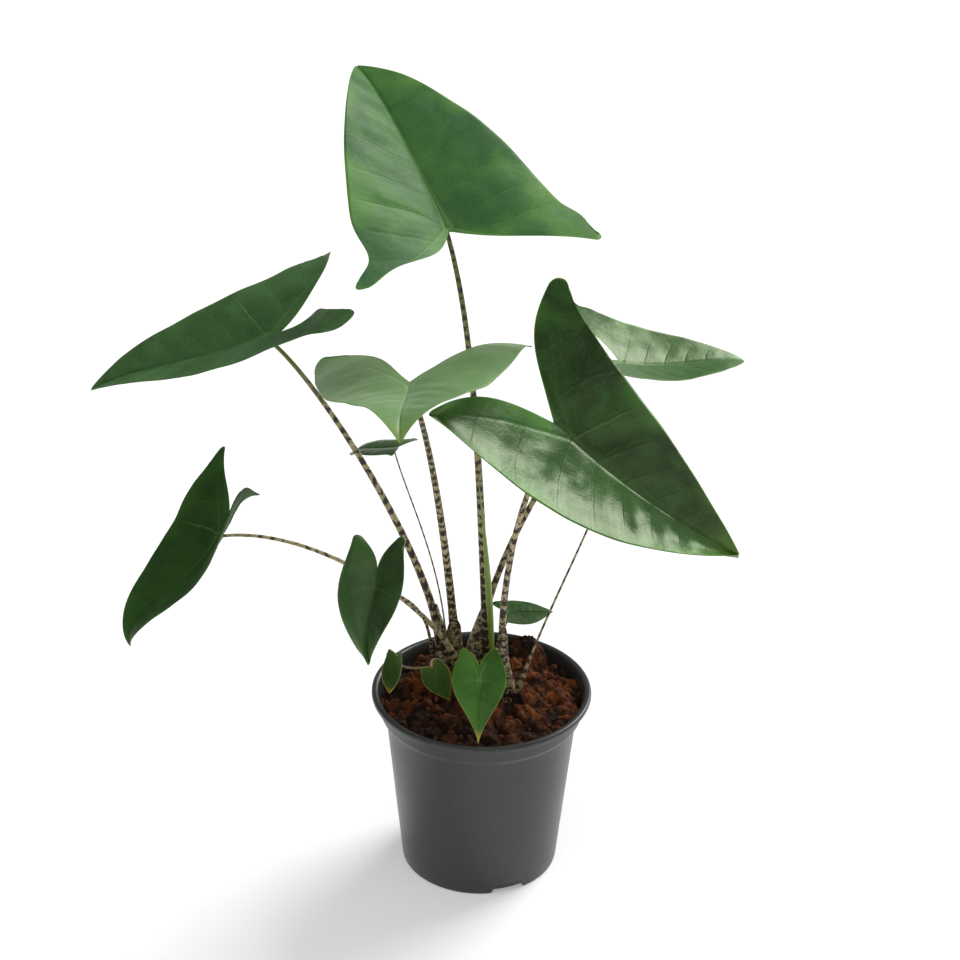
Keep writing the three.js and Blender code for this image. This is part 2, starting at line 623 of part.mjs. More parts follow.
// A stem thins from its foot to its top and swells into its sheath at the bottom.
function stemGeometry(leaf, from, to) {
  const [foot, middle, top] = leaf.radii;
  const radiusAt = (share) => {
    const sheath = (foot - middle) * (1 - THREE.MathUtils.smoothstep(share, 0, SHEATH_SHARE));
    return THREE.MathUtils.lerp(middle, top, share) + sheath;
  };
  return rodGeometry(stemCurve(leaf), radiusAt, middle > 2.5 ? 8 : 6, from, to);
}

for (const [name, leaf] of Object.entries(LEAVES)) {
  const length = stemCurve(leaf).getLength();
  const knuckle = Math.min(KNUCKLE_LENGTH, 0.1 * length);
  const stemShare = 1 - knuckle / length;
  const blade = toSolid(sheetGeometry(leaf)).add(toSolid(stemGeometry(leaf, stemShare + GAP / length, 1)));
  place(`petiole_${name}`, stemGeometry(leaf, 0, stemShare), 'stem');
  place(`blade_${name}`, fromSolid(blade), leaf.look);
}

// The new leaf is still rolled up tight: a smooth rod that is widest a third of the way up.
const NEW_LEAF = {
  foot: [8.5, 32.5], pulls: [[7, 30, 185], [3, 25, 260]], tip: [-4, 29, 312],
  footRadius: 1.9, belly: 2.6, tipRadius: 0.5, bellyShare: 0.4,
};

function newLeafGeometry() {
  const { foot, pulls, tip, footRadius, belly, tipRadius, bellyShare } = NEW_LEAF;
  const route = [[...foot, CROWN_TOP + GAP], ...pulls, tip].map((point) => new THREE.Vector3(...point));
  const radiusAt = (share) => (share < bellyShare
    ? THREE.MathUtils.lerp(footRadius, belly, THREE.MathUtils.smoothstep(share, 0, bellyShare))
    : THREE.MathUtils.lerp(belly, tipRadius, THREE.MathUtils.smoothstep(share, bellyShare, 1)));
  return rodGeometry(new THREE.CubicBezierCurve3(...route), radiusAt, 8);
}

place('new_leaf', newLeafGeometry(), 'freshStem');

export default plant;
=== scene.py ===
"""A potted alocasia in a dark nursery pot, dressed for a photograph-like render.

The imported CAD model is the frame: it gives each piece its place and its size. The script then follows the
plant as it is put together, from the pot and the soil to the stems, the leaves and the studio around them.
Lengths are in millimetres and become metres where a mesh is made. Only those that a node takes are metres.
"""

import math

import bpy
import numpy as np
from mathutils import Matrix, Vector, noise


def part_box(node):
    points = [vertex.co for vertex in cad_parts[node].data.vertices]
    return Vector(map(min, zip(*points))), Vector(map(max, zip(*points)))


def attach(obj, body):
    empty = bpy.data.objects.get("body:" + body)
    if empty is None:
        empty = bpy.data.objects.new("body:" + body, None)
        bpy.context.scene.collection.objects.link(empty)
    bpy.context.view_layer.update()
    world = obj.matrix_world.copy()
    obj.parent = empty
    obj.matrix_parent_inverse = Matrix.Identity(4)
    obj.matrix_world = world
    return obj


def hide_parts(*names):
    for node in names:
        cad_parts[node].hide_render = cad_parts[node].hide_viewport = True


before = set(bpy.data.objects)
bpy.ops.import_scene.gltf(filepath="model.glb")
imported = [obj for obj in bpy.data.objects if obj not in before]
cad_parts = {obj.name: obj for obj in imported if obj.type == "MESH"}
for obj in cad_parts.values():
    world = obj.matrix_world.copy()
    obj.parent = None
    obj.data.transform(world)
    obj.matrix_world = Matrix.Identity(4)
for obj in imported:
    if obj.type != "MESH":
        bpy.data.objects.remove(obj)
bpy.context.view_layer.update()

# ------------------------------------------------------------------------------------------ pot
# The pot is one thin wall of injection-moulded polypropylene, coloured dark grey right through. It has a
# rolled lip, a stepped collar that lets pots stack, a foot ring round a recessed floor, and three notches in
# the foot that let water out.

METRES = 0.001
pot_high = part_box("pot")[1]
RIM_RADIUS = pot_high[0] / METRES
POT_HEIGHT = pot_high[2] / METRES
BASE_RADIUS = 61
WALL = 2
WALL_SLOPE = 0.1
SHOULDER_HEIGHT = 131
SHOULDER_STEP = 4.2
SHOULDER_LEDGE = 3
SHOULDER_RISE = 1.2
LIP_HEIGHT = 4.8
LIP_WIDTH = 4.6
FLOOR_TOP = 4
RECESS = 2
CENTRE_PAD_RADIUS = 18
FOOT_WIDTH = 5
NOTCH_WIDTH = 26
NOTCH_HEIGHT = 4.6
NOTCH_REACH = 9
NOTCH_ANGLES = (-68, 52, 172)
EDGE_ROUNDING = 1.9
CORNER_STEPS = 4
LONG_WALL = 60
WALL_LOOPS = 10
POT_SIDES = 192


def wall_radius(height):
    return BASE_RADIUS + WALL_SLOPE * height + (SHOULDER_STEP if height > SHOULDER_HEIGHT else 0)


def rounded(profile, radius):
    """Rounds each corner of an open profile of (r, z) points."""
    points = [np.array(profile[0], float)]
    for before, corner, after in zip(profile, profile[1:], profile[2:]):
        before, corner, after = (np.array(p, float) for p in (before, corner, after))
        into, out = before - corner, after - corner
        reach = min(radius, 0.45 * np.linalg.norm(into), 0.45 * np.linalg.norm(out))
        start = corner + into / np.linalg.norm(into) * reach
        end = corner + out / np.linalg.norm(out) * reach
        for t in np.arange(CORNER_STEPS + 1) / CORNER_STEPS:
            points.append((1 - t) ** 2 * start + 2 * t * (1 - t) * corner + t * t * end)
    points.append(np.array(profile[-1], float))
    return points


def make_object(name, points, faces):
    """A smooth mesh object at the origin from points in millimetres."""
    mesh = bpy.data.meshes.new(name)
    mesh.from_pydata((np.asarray(points, float) * METRES).tolist(), [], faces)
    mesh.shade_smooth()
    obj = bpy.data.objects.new(name, mesh)
    bpy.context.scene.collection.objects.link(obj)
    return obj


def turned(profile, sides):
    """Points and faces of a body of revolution whose profile starts and ends on the axis."""
    angles = np.arange(sides) * 2 * math.pi / sides
    points = [(0, 0, profile[0][1])]
    for r, z in profile[1:-1]:
        points += [(r * math.cos(a), r * math.sin(a), z) for a in angles]
    points.append((0, 0, profile[-1][1]))
    last, last_ring = len(points) - 1, 1 + (len(profile) - 3) * sides
    faces = []
    for k in range(sides):
        after = (k + 1) % sides
        faces.append((0, 1 + after, 1 + k))
        for ring in range(1, last_ring, sides):
            a, b = ring + k, ring + after
            faces.append((a, b, b + sides, a + sides))
        faces.append((last, last_ring + k, last_ring + after))
    return np.array(points), faces


def smoothstep(low, high, value):
    share = np.clip((value - low) / (high - low), 0, 1)
    return share * share * (3 - 2 * share)


shoulder_top = SHOULDER_HEIGHT + SHOULDER_STEP
under_step, over_step = wall_radius(SHOULDER_HEIGHT), wall_radius(shoulder_top)
lip_bottom = POT_HEIGHT - LIP_HEIGHT
collar = wall_radius(lip_bottom)
foot_inner = BASE_RADIUS - FOOT_WIDTH
pot_profile = rounded([
    (0, 0), (CENTRE_PAD_RADIUS, 0), (CENTRE_PAD_RADIUS + RECESS, RECESS),
    (foot_inner - RECESS, RECESS), (foot_inner, 0), (BASE_RADIUS, 0),
    (under_step, SHOULDER_HEIGHT), (under_step + SHOULDER_LEDGE, SHOULDER_HEIGHT + SHOULDER_RISE),
    (over_step, shoulder_top), (collar, lip_bottom), (RIM_RADIUS, lip_bottom), (RIM_RADIUS, POT_HEIGHT),
    (RIM_RADIUS - LIP_WIDTH, POT_HEIGHT), (collar - WALL, lip_bottom), (over_step - WALL, shoulder_top),
    (under_step - WALL, SHOULDER_HEIGHT), (wall_radius(FLOOR_TOP) - WALL, FLOOR_TOP), (0, FLOOR_TOP),
], EDGE_ROUNDING)
# Loops down the long wall keep its shading even.
for n in reversed(range(len(pot_profile) - 1)):
    upper, lower = pot_profile[n], pot_profile[n + 1]
    if abs(lower[1] - upper[1]) > LONG_WALL:
        steps = np.linspace(0, 1, WALL_LOOPS + 2)[1:-1]
        pot_profile[n + 1:n + 1] = [upper * (1 - t) + lower * t for t in steps]
pot_points, pot_faces = turned(pot_profile, POT_SIDES)
# The notches are cut by raising z, which is a view of the points' own heights.
x, y, z = pot_points.T
in_foot = (z < NOTCH_HEIGHT) & (np.hypot(x, y) > foot_inner - 1)
for angle in NOTCH_ANGLES:
    ahead_x, ahead_y = math.cos(math.radians(angle)), math.sin(math.radians(angle))
    side = smoothstep(NOTCH_WIDTH / 2 - 1, NOTCH_WIDTH / 2 + 1, np.abs(x * ahead_y - y * ahead_x))
    inside = (1 - side) * (x * ahead_x + y * ahead_y > foot_inner - NOTCH_REACH)
    z[in_foot] = np.maximum(z, NOTCH_HEIGHT * inside)[in_foot]
pot = make_object("nursery_pot", pot_points, pot_faces)


def linear(code):
    """A hex sRGB colour as linear red, green, blue and alpha."""
    parts = [int(code[n:n + 2], 16) / 255 for n in (1, 3, 5)]
    return (*(v / 12.92 if v <= 0.04045 else ((v + 0.055) / 1.055) ** 2.4 for v in parts), 1.0)


def add(tree, kind, inputs=(), **settings):
    """Adds a node, makes its settings, fills or links its inputs and returns its outputs. A kind without a
    prefix is a shader node, and an input in hex is a colour."""
    prefixed = kind.startswith(("Geometry", "Function", "NodeGroup"))
    node = tree.nodes.new(kind if prefixed else f"ShaderNode{kind}")
    for name, value in settings.items():
        setattr(node, name, value)
    for key, value in dict(inputs).items():
        if isinstance(value, bpy.types.NodeSocket):
            tree.links.new(value, node.inputs[key])
        else:
            node.inputs[key].default_value = linear(value) if str(value).startswith("#") else value
    return node.outputs


def new_tree(name):
    """A new material's empty node tree."""
    material = bpy.data.materials.new(name)
    material.use_nodes = True
    material.node_tree.nodes.clear()
    return material.node_tree


def per_metre(size):
    """The scale of a noise whose features are size millimetres across."""
    return 1 / (size * METRES)


def dress(piece, material, node=None):
    """Gives a piece its material, hangs it under the root and hides the node of the frame that it stands for.
    """
    piece.data.materials.append(bpy.data.materials[material])
    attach(piece, "root")
    if node:
        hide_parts(node)


# Injection-moulded polypropylene has a satin skin with faint cloudy flow marks, a fine grain from the mould
# and, once it has been in a nursery, pale specks of dust and lime.
tree = new_tree("moulded_polypropylene")
place = add(tree, "TexCoord")["Object"]
cloud = add(tree, "TexNoise", {"Vector": place, "Scale": per_metre(45), "Detail": 4})[0]
grey = add(tree, "Mix", {0: cloud, 6: "#2b2c2c", 7: "#343535"}, data_type="RGBA")[2]
speck = add(tree, "TexNoise", {"Vector": place, "Scale": per_metre(2.2), "Detail": 2})[0]
dusty = add(tree, "MapRange", {0: speck, 1: 0.70, 2: 0.78, 4: 0.4})[0]
grey = add(tree, "Mix", {0: dusty, 6: grey, 7: "#8d8c88"}, data_type="RGBA")[2]
satin = add(tree, "MapRange", {0: cloud, 1: 0.3, 2: 0.7, 3: 0.30, 4: 0.38})[0]
grain = add(tree, "TexNoise", {"Vector": place, "Scale": per_metre(0.9), "Detail": 2})[0]
bump = add(tree, "Bump", {"Height": grain, "Strength": 0.12, "Distance": 0.0003})[0]
shader = add(tree, "BsdfPrincipled", {"Base Color": grey, "Roughness": satin, "IOR": 1.49, "Normal": bump})[0]
add(tree, "OutputMaterial", {"Surface": shader})
dress(pot, "moulded_polypropylene", "pot")

# ------------------------------------------------------------------------------------------ soil
# The pot is filled with coarse reddish coir, bark and peat, which lies low along the wall, mounds up round
# the crowns and has one heap at the back right. Its surface is a skin of clods, with loose chips on it.

SOIL_EDGE_HEIGHT = 140
SOIL_MOUND = 13
SOIL_GAP = 0.3
SOIL_RINGS = 66
SOIL_SIDES = 400
HEAP_AT = (36, 60)
HEAP_HEIGHT = 21
HEAP_SPREAD = 10


def soil_height(x, y):
    """The broad shape of the soil's surface, which is the frame's with a fuller heap."""
    out = math.hypot(x, y) / RIM_RADIUS
    mound = SOIL_MOUND * (1 - out * out) * (1 + 0.25 * y / RIM_RADIUS)
    lumps = 1.6 * math.sin(0.21 * x + 1.3) * math.cos(0.17 * y - 0.6)
    lumps += 1.1 * math.sin(0.37 * x - 0.31 * y) + 0.8 * math.cos(0.11 * x + 0.43 * y)
    from_heap = math.hypot(x - HEAP_AT[0], y - HEAP_AT[1]) / HEAP_SPREAD
    return SOIL_EDGE_HEIGHT + mound + lumps + HEAP_HEIGHT * math.exp(-from_heap ** 2 / 2)


def crumbs(x, y):
    """Clods of about 19, 9 and 5 mm with deep gaps between them, and a rough skin."""
    total = 0.0
    for size, height in ((19, 7.0), (9, 3.0), (4.5, 1.2)):
        warp = 0.25 * noise.noise(Vector((x / size, y / size, 9.0)))
        distances, _ = noise.voronoi(Vector((x / size + warp, y / size - warp, 0.7 * size)))
        total += height * (min(1.0, 1.6 * (distances[1] - distances[0])) ** 0.7 - 0.6)
    return total + 1.1 * noise.fractal(Vector((x / 2.4, y / 2.4, 3.0)), 0.7, 2.1, 3)


def soil_ring(radius, height_at):
    """One ring of points round the pot's axis, whose heights follow from their places."""
    angles = [2 * math.pi * k / SOIL_SIDES for k in range(SOIL_SIDES)]
    flat = [(radius * math.cos(a), radius * math.sin(a)) for a in angles]
    return [(x, y, height_at(x, y)) for x, y in flat]


def keep_places(obj, title, places):
    """Stores a vector at each point, for a material to read."""
    attribute = obj.data.attributes.new(title, "FLOAT_VECTOR", "POINT")
    attribute.data.foreach_set("vector", np.ascontiguousarray(places, np.float32).ravel())


soil_points = [(0, 0, soil_height(0, 0) + crumbs(0, 0))]
for ring in range(1, SOIL_RINGS + 1):
    radius = (collar - WALL - SOIL_GAP) * ring / SOIL_RINGS
    soil_points += soil_ring(radius, lambda x, y: soil_height(x, y) + crumbs(x, y))
top_points = len(soil_points)
for wall_height in (shoulder_top, SHOULDER_HEIGHT, FLOOR_TOP):
    bottom = max(wall_height, FLOOR_TOP + SOIL_GAP)
    soil_points += soil_ring(wall_radius(wall_height) - WALL - SOIL_GAP, lambda x, y: bottom)
soil_points.append((0, 0, bottom))
soil_faces = []
last_ring = 1 + (SOIL_RINGS + 2) * SOIL_SIDES
for k in range(SOIL_SIDES):
    after = (k + 1) % SOIL_SIDES
    soil_faces.append((0, 1 + k, 1 + after))
    for ring in range(1, last_ring, SOIL_SIDES):
        a, b = ring + k, ring + after
        soil_faces.append((a, a + SOIL_SIDES, b + SOIL_SIDES, b))
    soil_faces.append((len(soil_points) - 1, last_ring + after, last_ring + k))
soil = make_object("potting_soil", soil_points, soil_faces)
clods = np.zeros((len(soil_points), 3))
clods[:top_points, 0] = [crumbs(x, y) for x, y, z in soil_points[:top_points]]
keep_places(soil, "clods", clods)

# Damp coir and peat: matt and fibrous, rust brown where it has dried, with a painted highlight of the same
# rust brown on the clod tops and painted shade, nearly black, in the gaps. It is darkest along the front,
# which the plant keeps damp, and painted shade there stands for the plant's shadow.
tree = new_tree("damp_coir_and_peat")
place = add(tree, "TexCoord")["Object"]
patch = add(tree, "TexNoise", {"Vector": place, "Scale": per_metre(22), "Detail": 3})[0]
crumb = add(tree, "TexNoise", {"Vector": place, "Scale": per_metre(3), "Detail": 5})[0]
fibre = add(tree, "TexNoise", {"Vector": place, "Scale": per_metre(1.2), "Detail": 6})[0]
tint = add(tree, "Attribute", attribute_name="tint")["Fac"]
clod = add(tree, "Attribute", attribute_name="clods")["Vector"]
clod = add(tree, "SeparateXYZ", {0: clod})[0]
# Painted shade: the soil is painted darker towards the front, for the plant's shadow there as well as the
# damp.
towards_back = add(tree, "SeparateXYZ", {0: place})[1]
towards_back = add(tree, "MapRange", {0: towards_back, 1: -0.065, 2: -0.015, 3: 0.15, 4: 1})[0]
# Rust brown where the soil has dried, together with a painted highlight on the clod tops.
dry_and_lit = add(tree, "MapRange", {0: patch, 1: 0.40, 2: 0.62})[0]
dry_and_lit = add(tree, "Math", {0: dry_and_lit, 1: towards_back}, operation="MULTIPLY")[0]
# Painted highlight: the tops of the clods are painted lighter, in the dried rust brown.
painted_top_highlight = add(tree, "MapRange", {0: clod, 1: 0, 2: 4, 3: 0, 4: 0.45})[0]
dry_and_lit = add(tree, "Math", {0: painted_top_highlight, 1: towards_back, 2: dry_and_lit}, operation="MULTIPLY_ADD")[0]
dry_and_lit = add(tree, "Math", {0: dry_and_lit, 1: 1.0}, operation="MINIMUM")[0]
light = add(tree, "MapRange", {0: crumb, 1: 0.40, 2: 0.68})[0]
# Painted shade: the gaps between the clods are painted nearly black.
deep = add(tree, "MapRange", {0: clod, 1: -4, 2: 0.5, 3: 0.9, 4: 0})[0]
brown = "#24130a"
for share, tone, blend in ((dry_and_lit, "#935729", "MIX"), (light, "#9a5c33", "SOFT_LIGHT"),
                           (deep, "#160a06", "MIX"), (tint, "#8a5030", "MIX")):
    brown = add(tree, "Mix", {0: share, 6: brown, 7: tone}, data_type="RGBA", blend_type=blend)[2]
bump = add(tree, "Bump", {"Height": fibre, "Strength": 0.7, "Distance": 0.0012})[0]
shader = add(tree, "BsdfPrincipled", {
    "Base Color": brown, "Roughness": 0.92, "Specular IOR Level": 0.25, "Normal": bump})[0]
add(tree, "OutputMaterial", {"Surface": shader})
dress(soil, "damp_coir_and_peat", "soil")


# Loose chips lie on the surface. Each is a small rough lump, and no two are alike because the noise that
# shapes them runs on from one to the next. The outermost rings stay free of them, so none sticks through the
# pot's wall.
CHIP_ROUGHNESS = 4.2
BARE_RINGS = 3


def chip_tree(material):
    """Scatters chips over a surface. Its named inputs are their sizes, their spacing and the seed."""
    tree = bpy.data.node_groups.new("loose_chips", "GeometryNodeTree")
    for name, kind in (("Surface", "Geometry"), ("Smallest", "Float"), ("Largest", "Float"),
                       ("Spacing", "Float"), ("Seed", "Int")):
        tree.interface.new_socket(name, in_out="INPUT", socket_type=f"NodeSocket{kind}")
    tree.interface.new_socket("Chips", in_out="OUTPUT", socket_type="NodeSocketGeometry")
    given = add(tree, "NodeGroupInput")
    spread = add(tree, "GeometryNodeDistributePointsOnFaces", {
        "Mesh": given["Surface"], "Distance Min": given["Spacing"], "Density Max": 1e5, "Seed": given["Seed"],
    }, distribute_method="POISSON")
    size = add(tree, "FunctionNodeRandomValue", {
        2: given["Smallest"], 3: given["Largest"], "Seed": given["Seed"]}, data_type="FLOAT")[1]
    tint = add(tree, "FunctionNodeRandomValue", {2: 0.0, 3: 0.4, "Seed": given["Seed"]}, data_type="FLOAT")[1]
    turn, stretch = (
        add(tree, "FunctionNodeRandomValue", {0: least, 1: most, "Seed": given["Seed"]},
            data_type="FLOAT_VECTOR")[0]
        for least, most in (((0, 0, 0), (6.28, 6.28, 6.28)), ((0.6, 0.6, 0.35), (1.3, 1.0, 0.8))))
    scale = add(tree, "VectorMath", {0: stretch, "Scale": size}, operation="SCALE")[0]
    lump = add(tree, "GeometryNodeMeshIcoSphere", {"Radius": 0.5, "Subdivisions": 3})[0]
    chips = add(tree, "GeometryNodeInstanceOnPoints", {
        "Points": spread["Points"], "Instance": lump, "Rotation": turn, "Scale": scale})[0]
    chips = add(tree, "GeometryNodeStoreNamedAttribute", {
        "Geometry": chips, "Name": "tint", "Value": tint}, data_type="FLOAT", domain="INSTANCE")[0]
    chips = add(tree, "GeometryNodeRealizeInstances", {"Geometry": chips})[0]
    place = add(tree, "GeometryNodeInputPosition")[0]
    rough = add(tree, "TexNoise", {"Vector": place, "Scale": per_metre(2.4), "Detail": 2})["Color"]
    rough = add(tree, "VectorMath", {0: rough, 1: (0.5, 0.5, 0.5)}, operation="SUBTRACT")[0]
    rough = add(tree, "VectorMath", {0: rough, "Scale": CHIP_ROUGHNESS * METRES}, operation="SCALE")[0]
    chips = add(tree, "GeometryNodeSetPosition", {"Geometry": chips, "Offset": rough})[0]
    chips = add(tree, "GeometryNodeSetMaterial", {"Geometry": chips, "Material": material})[0]
    add(tree, "NodeGroupOutput", {"Chips": chips})
    return tree


def grown(obj, tree, **values):
    """Runs a Geometry Nodes tree on an object, with its inputs set by name, and keeps the plain mesh."""
    modifier = obj.modifiers.new(tree.name, "NODES")
    modifier.node_group = tree
    for item in tree.interface.items_tree:
        if item.name in values:
            modifier[item.identifier] = values[item.name]
    depsgraph = bpy.context.evaluated_depsgraph_get()
    depsgraph.update()
    made = bpy.data.meshes.new_from_object(obj.evaluated_get(depsgraph), depsgraph=depsgraph)
    obj.modifiers.remove(modifier)
    obj.data = made
    return obj


skin = make_object("loose_chips", soil_points[:top_points],
                   [f for f in soil_faces if max(f) < top_points - BARE_RINGS * SOIL_SIDES])
chips = grown(skin, chip_tree(bpy.data.materials["damp_coir_and_peat"]),
              Smallest=0.0012, Largest=0.0048, Spacing=0.0068, Seed=5)
chips.data.shade_smooth()
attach(chips, "root")

# ------------------------------------------------------------------------------------------ crowns
# The stems grow from three short corms that are nearly buried. Each is brown and knobbly, with ridges round
# it where old leaves have come away.

CROWN_BOTTOM = 124
CROWN_TOP = 150
CROWN_BULGE = 30
CROWN_RINGS = 14
CROWN_SIDES = 48
KNOB_SIZE = 5
KNOB_HEIGHT = 0.06
RIDGE_HEIGHT = 0.03
RIDGE_PITCH = 2.1
CROWNS = {"left": (-28, 41, 14.8), "middle": (3, 42, 13.8), "front": (19, -3, 12.5)}


def crown_points(x, y, radius, seed):
    """A knobbly, ridged corm with a domed top that just clears the feet of its stems."""
    profile = [(0, CROWN_BOTTOM)]
    for z in np.linspace(CROWN_BOTTOM, CROWN_TOP - 2, CROWN_RINGS):
        profile.append((radius * (0.82 + 0.18 * math.sin(math.pi * (z - CROWN_BOTTOM) / CROWN_BULGE)), z))
    profile += [(radius * 0.8, CROWN_TOP - 0.8), (radius * 0.5, CROWN_TOP - 0.1), (0, CROWN_TOP)]
    points, faces = turned(profile, CROWN_SIDES)
    for n, (px, py, pz) in enumerate(points):
        at = Vector((px / KNOB_SIZE, py / KNOB_SIZE, pz / KNOB_SIZE + seed))
        knob = 1 + KNOB_HEIGHT * noise.noise(at)
        knob += RIDGE_HEIGHT * math.sin(pz * RIDGE_PITCH) * min(1.0, math.hypot(px, py) / radius)
        points[n] = (px * knob + x, py * knob + y, pz)
    return points, faces


# Corm skin: dry, corky and fibrous, in dull browns with darker rings.
tree = new_tree("corky_corm_skin")
place = add(tree, "TexCoord")["Object"]
flat = add(tree, "Mapping", {"Vector": place, "Scale": (1, 1, 4)})[0]
cork = add(tree, "TexNoise", {"Vector": flat, "Scale": per_metre(6), "Detail": 5})[0]
cork = add(tree, "MapRange", {0: cork, 1: 0.35, 2: 0.65})[0]
brown = add(tree, "Mix", {0: cork, 6: "#3a2c1b", 7: "#8a7350"}, data_type="RGBA")[2]
bump = add(tree, "Bump", {"Height": cork, "Strength": 0.6, "Distance": 0.0008})[0]
shader = add(tree, "BsdfPrincipled", {"Base Color": brown, "Roughness": 0.85, "Normal": bump})[0]
add(tree, "OutputMaterial", {"Surface": shader})
for seed, (name, (x, y, radius)) in enumerate(CROWNS.items()):
    corm = make_object(f"corm_{name}", *crown_points(x, y, radius, 10 * seed))
    dress(corm, "corky_corm_skin", f"crown_{name}")

# ------------------------------------------------------------------------------------------ leaf form
# Every leaf is an arrow-shaped blade on a long stem. join is where the blade sits on its stem, and heading is
# the way its tip points, in degrees clockwise from straight back seen from above. rise tips the blade up from
# level and roll lowers its right half. What differs between the halves stands under left_half and right_half.

BLADE_THICKNESS = 0.9
RIB_THICKNESS = 1.2
RIB_SHARE = 0.01
SINUS_SHARE = 0.18
TIP_SHARE = 0.004
COLUMN_CROWDING = 1.55
VEIN_SLANT = 0.13
ROUNDED_FROM = 0.8
NECK_AT = 0.9
NECK_REACH = 0.07
VEINS_AHEAD = 6
VEINS_BEHIND = 3.4
VEIN_LEAN = 0.85
VEIN_CURVE = 0.4
COSTA_BOW = 0.05
RIPPLES = ((1.5, 26), (0.6, 11))
RUFFLE_HEIGHT = 0.02
RUFFLE_SIZE = 0.35
RIB_GROOVE = 0.6
COSTA_GROOVE = 0.35
RIBS_END = 4
THIN_MARGIN = 2.5
BLADE_ROWS = 180
BLADE_COLUMNS = 58
BEND_STEPS = 801
PLAIN_HALF = {"inner_shoulder": 0.8, "inner_wave": 0, "neck": 0, "lobe_curl": 0, "lobe_roll": 0, "crown": 0,
              "quilt": 0.011, "wave": 0.6}


def half_of(leaf, side):
    """The values of one half of a leaf. side is 1 for the right half and -1 for the left."""
    return {**PLAIN_HALF, **leaf, **leaf["right_half" if side > 0 else "left_half"]}


def bowed(start, end, run, bow):
    """Points on the line from start to end, pushed to the line's left by a share of its length."""
    line = [end[0] - start[0], end[1] - start[1]]
    return start[0] + line[0] * run - line[1] * bow, start[1] + line[1] * run + line[0] * bow


def lobe_end_of(half):
    """The middle of the rounded end of a back lobe, and the ways out along the lobe and in across it."""
    sinus, lobe_tip = np.array([0, -half["sinus"]]), np.array([half["half_width"], -half["lobe"]])
    out = (lobe_tip - sinus) / np.linalg.norm(lobe_tip - sinus)
    return lobe_tip - out * half["lobe_end"] / 2, out, np.array([out[1], -out[0]])


def flat_half(half, s, t):
    """A half laid flat, as a right half. s runs from the tip (0) to the end of the back lobe (1), and t from
    the midrib or the lobe's inner margin (0) to the outer margin (1)."""
    centre, out, inward = lobe_end_of(half)
    radius = half["lobe_end"] / 2
    along = np.maximum(0, s - VEIN_SLANT * np.sin(np.pi * s))
    neck = half["neck"] * np.exp(-((along - NECK_AT) / NECK_REACH) ** 2)
    bulge = half["outer_bulge"] * np.sin(np.pi * along ** half["shoulder"]) - neck
    outer_x, outer_y = bowed((0, half["length"]), centre - inward * radius, along, bulge)
    join = half["length"] / (half["length"] + half["lobe"])
    rest = (s - join) / (1 - join)
    run = np.clip((rest - SINUS_SHARE) / (1 - SINUS_SHARE), 0, 1)
    bulge = half["inner_bulge"] * np.sin(np.pi * run ** half["inner_shoulder"])
    bulge = bulge + half["inner_wave"] * np.sin(2 * np.pi * run)
    lobe_x, lobe_y = bowed((0, -half["sinus"]), centre + inward * radius, run, -bulge)
    inner_x = np.where(rest <= SINUS_SHARE, 0, lobe_x)
    inner_y = np.where(rest <= 0, half["length"] * (1 - s / join), -half["sinus"] * rest / SINUS_SHARE)
    inner_y = np.where(rest <= SINUS_SHARE, inner_y, lobe_y)
    towards_end = np.maximum(0, (s - ROUNDED_FROM) / (1 - ROUNDED_FROM))
    rounding = radius * towards_end ** 3 * np.sqrt(np.maximum(0, 1 - (2 * t - 1) ** 2))
    x = inner_x + (outer_x - inner_x) * t + out[0] * rounding
    y = inner_y + (outer_y - inner_y) * t + out[1] * rounding
    return x, y, np.hypot(outer_x - inner_x, outer_y - inner_y)


def bend(lengths, slope, low, high):
    """Where flat strips of the given lengths end up when the strip bends by slope(distance) on its way."""
    at = np.linspace(low, high, BEND_STEPS)
    turns = slope((at[1:] + at[:-1]) / 2)
    moved = []
    for part in (np.cos(turns), np.sin(turns)):
        walked = np.concatenate([[0], np.cumsum(part * (at[1] - at[0]))])
        moved.append(np.interp(lengths, at, walked - np.interp(0, at, walked)))
    return moved


def blade_frame(leaf):
    turn = Matrix.Rotation(-math.radians(leaf["heading"]), 4, "Z")
    turn = turn @ Matrix.Rotation(math.radians(leaf["rise"]), 4, "X")
    return Matrix.Translation(leaf["join"]) @ turn @ Matrix.Rotation(math.radians(leaf["roll"]), 4, "Y")


def bent_half(half, side, x, y, lift):
    """Bends a flat half into its place in the plant."""
    lobe_lift, lobe_curl, dish, droop, lobe_roll = (
        math.radians(half[key]) for key in ("lobe_lift", "lobe_curl", "dish", "tip_droop", "lobe_roll"))

    def behind_at(at):
        return np.maximum(0, -at - half["sinus"]) / (half["lobe"] - half["sinus"])

    def slope(at):
        ahead, behind = at / half["length"], behind_at(at)
        lobe = lobe_lift * behind + lobe_curl * behind ** 5
        return np.where(at >= 0, dish * ahead - droop * ahead ** 4, lobe)

    def fold(at):
        return np.radians(half["fold"] - half["margin_droop"] * at / half["half_width"])

    ahead, up = bend(y, slope, -1.3 * half["lobe"], half["length"])
    across, rise = bend(x, fold, 0, 1.6 * half["half_width"])
    behind = behind_at(y)
    roll = np.tan(lobe_roll * np.minimum(1, behind) ** 2)
    height = rise + lift + roll * (across - half["half_width"] * behind)
    pitch = slope(y)
    twist = np.radians(half["twist"]) * y / half["length"]
    over = side * across * np.cos(twist) - height * np.sin(twist)
    above = side * across * np.sin(twist) + height * np.cos(twist)
    local = np.stack([over, ahead - np.sin(pitch) * above, up + np.cos(pitch) * above, np.ones_like(x)], -1)
    return (local @ np.array(blade_frame(half)).T)[..., :3]


def uneven(x, y, size, seed):
    """Smooth noise over flat points, with features of the given size in millimetres."""
    values = [noise.noise(Vector((a / size, b / size, seed))) for a, b in zip(x.ravel(), y.ravel())]
    return np.array(values).reshape(x.shape)


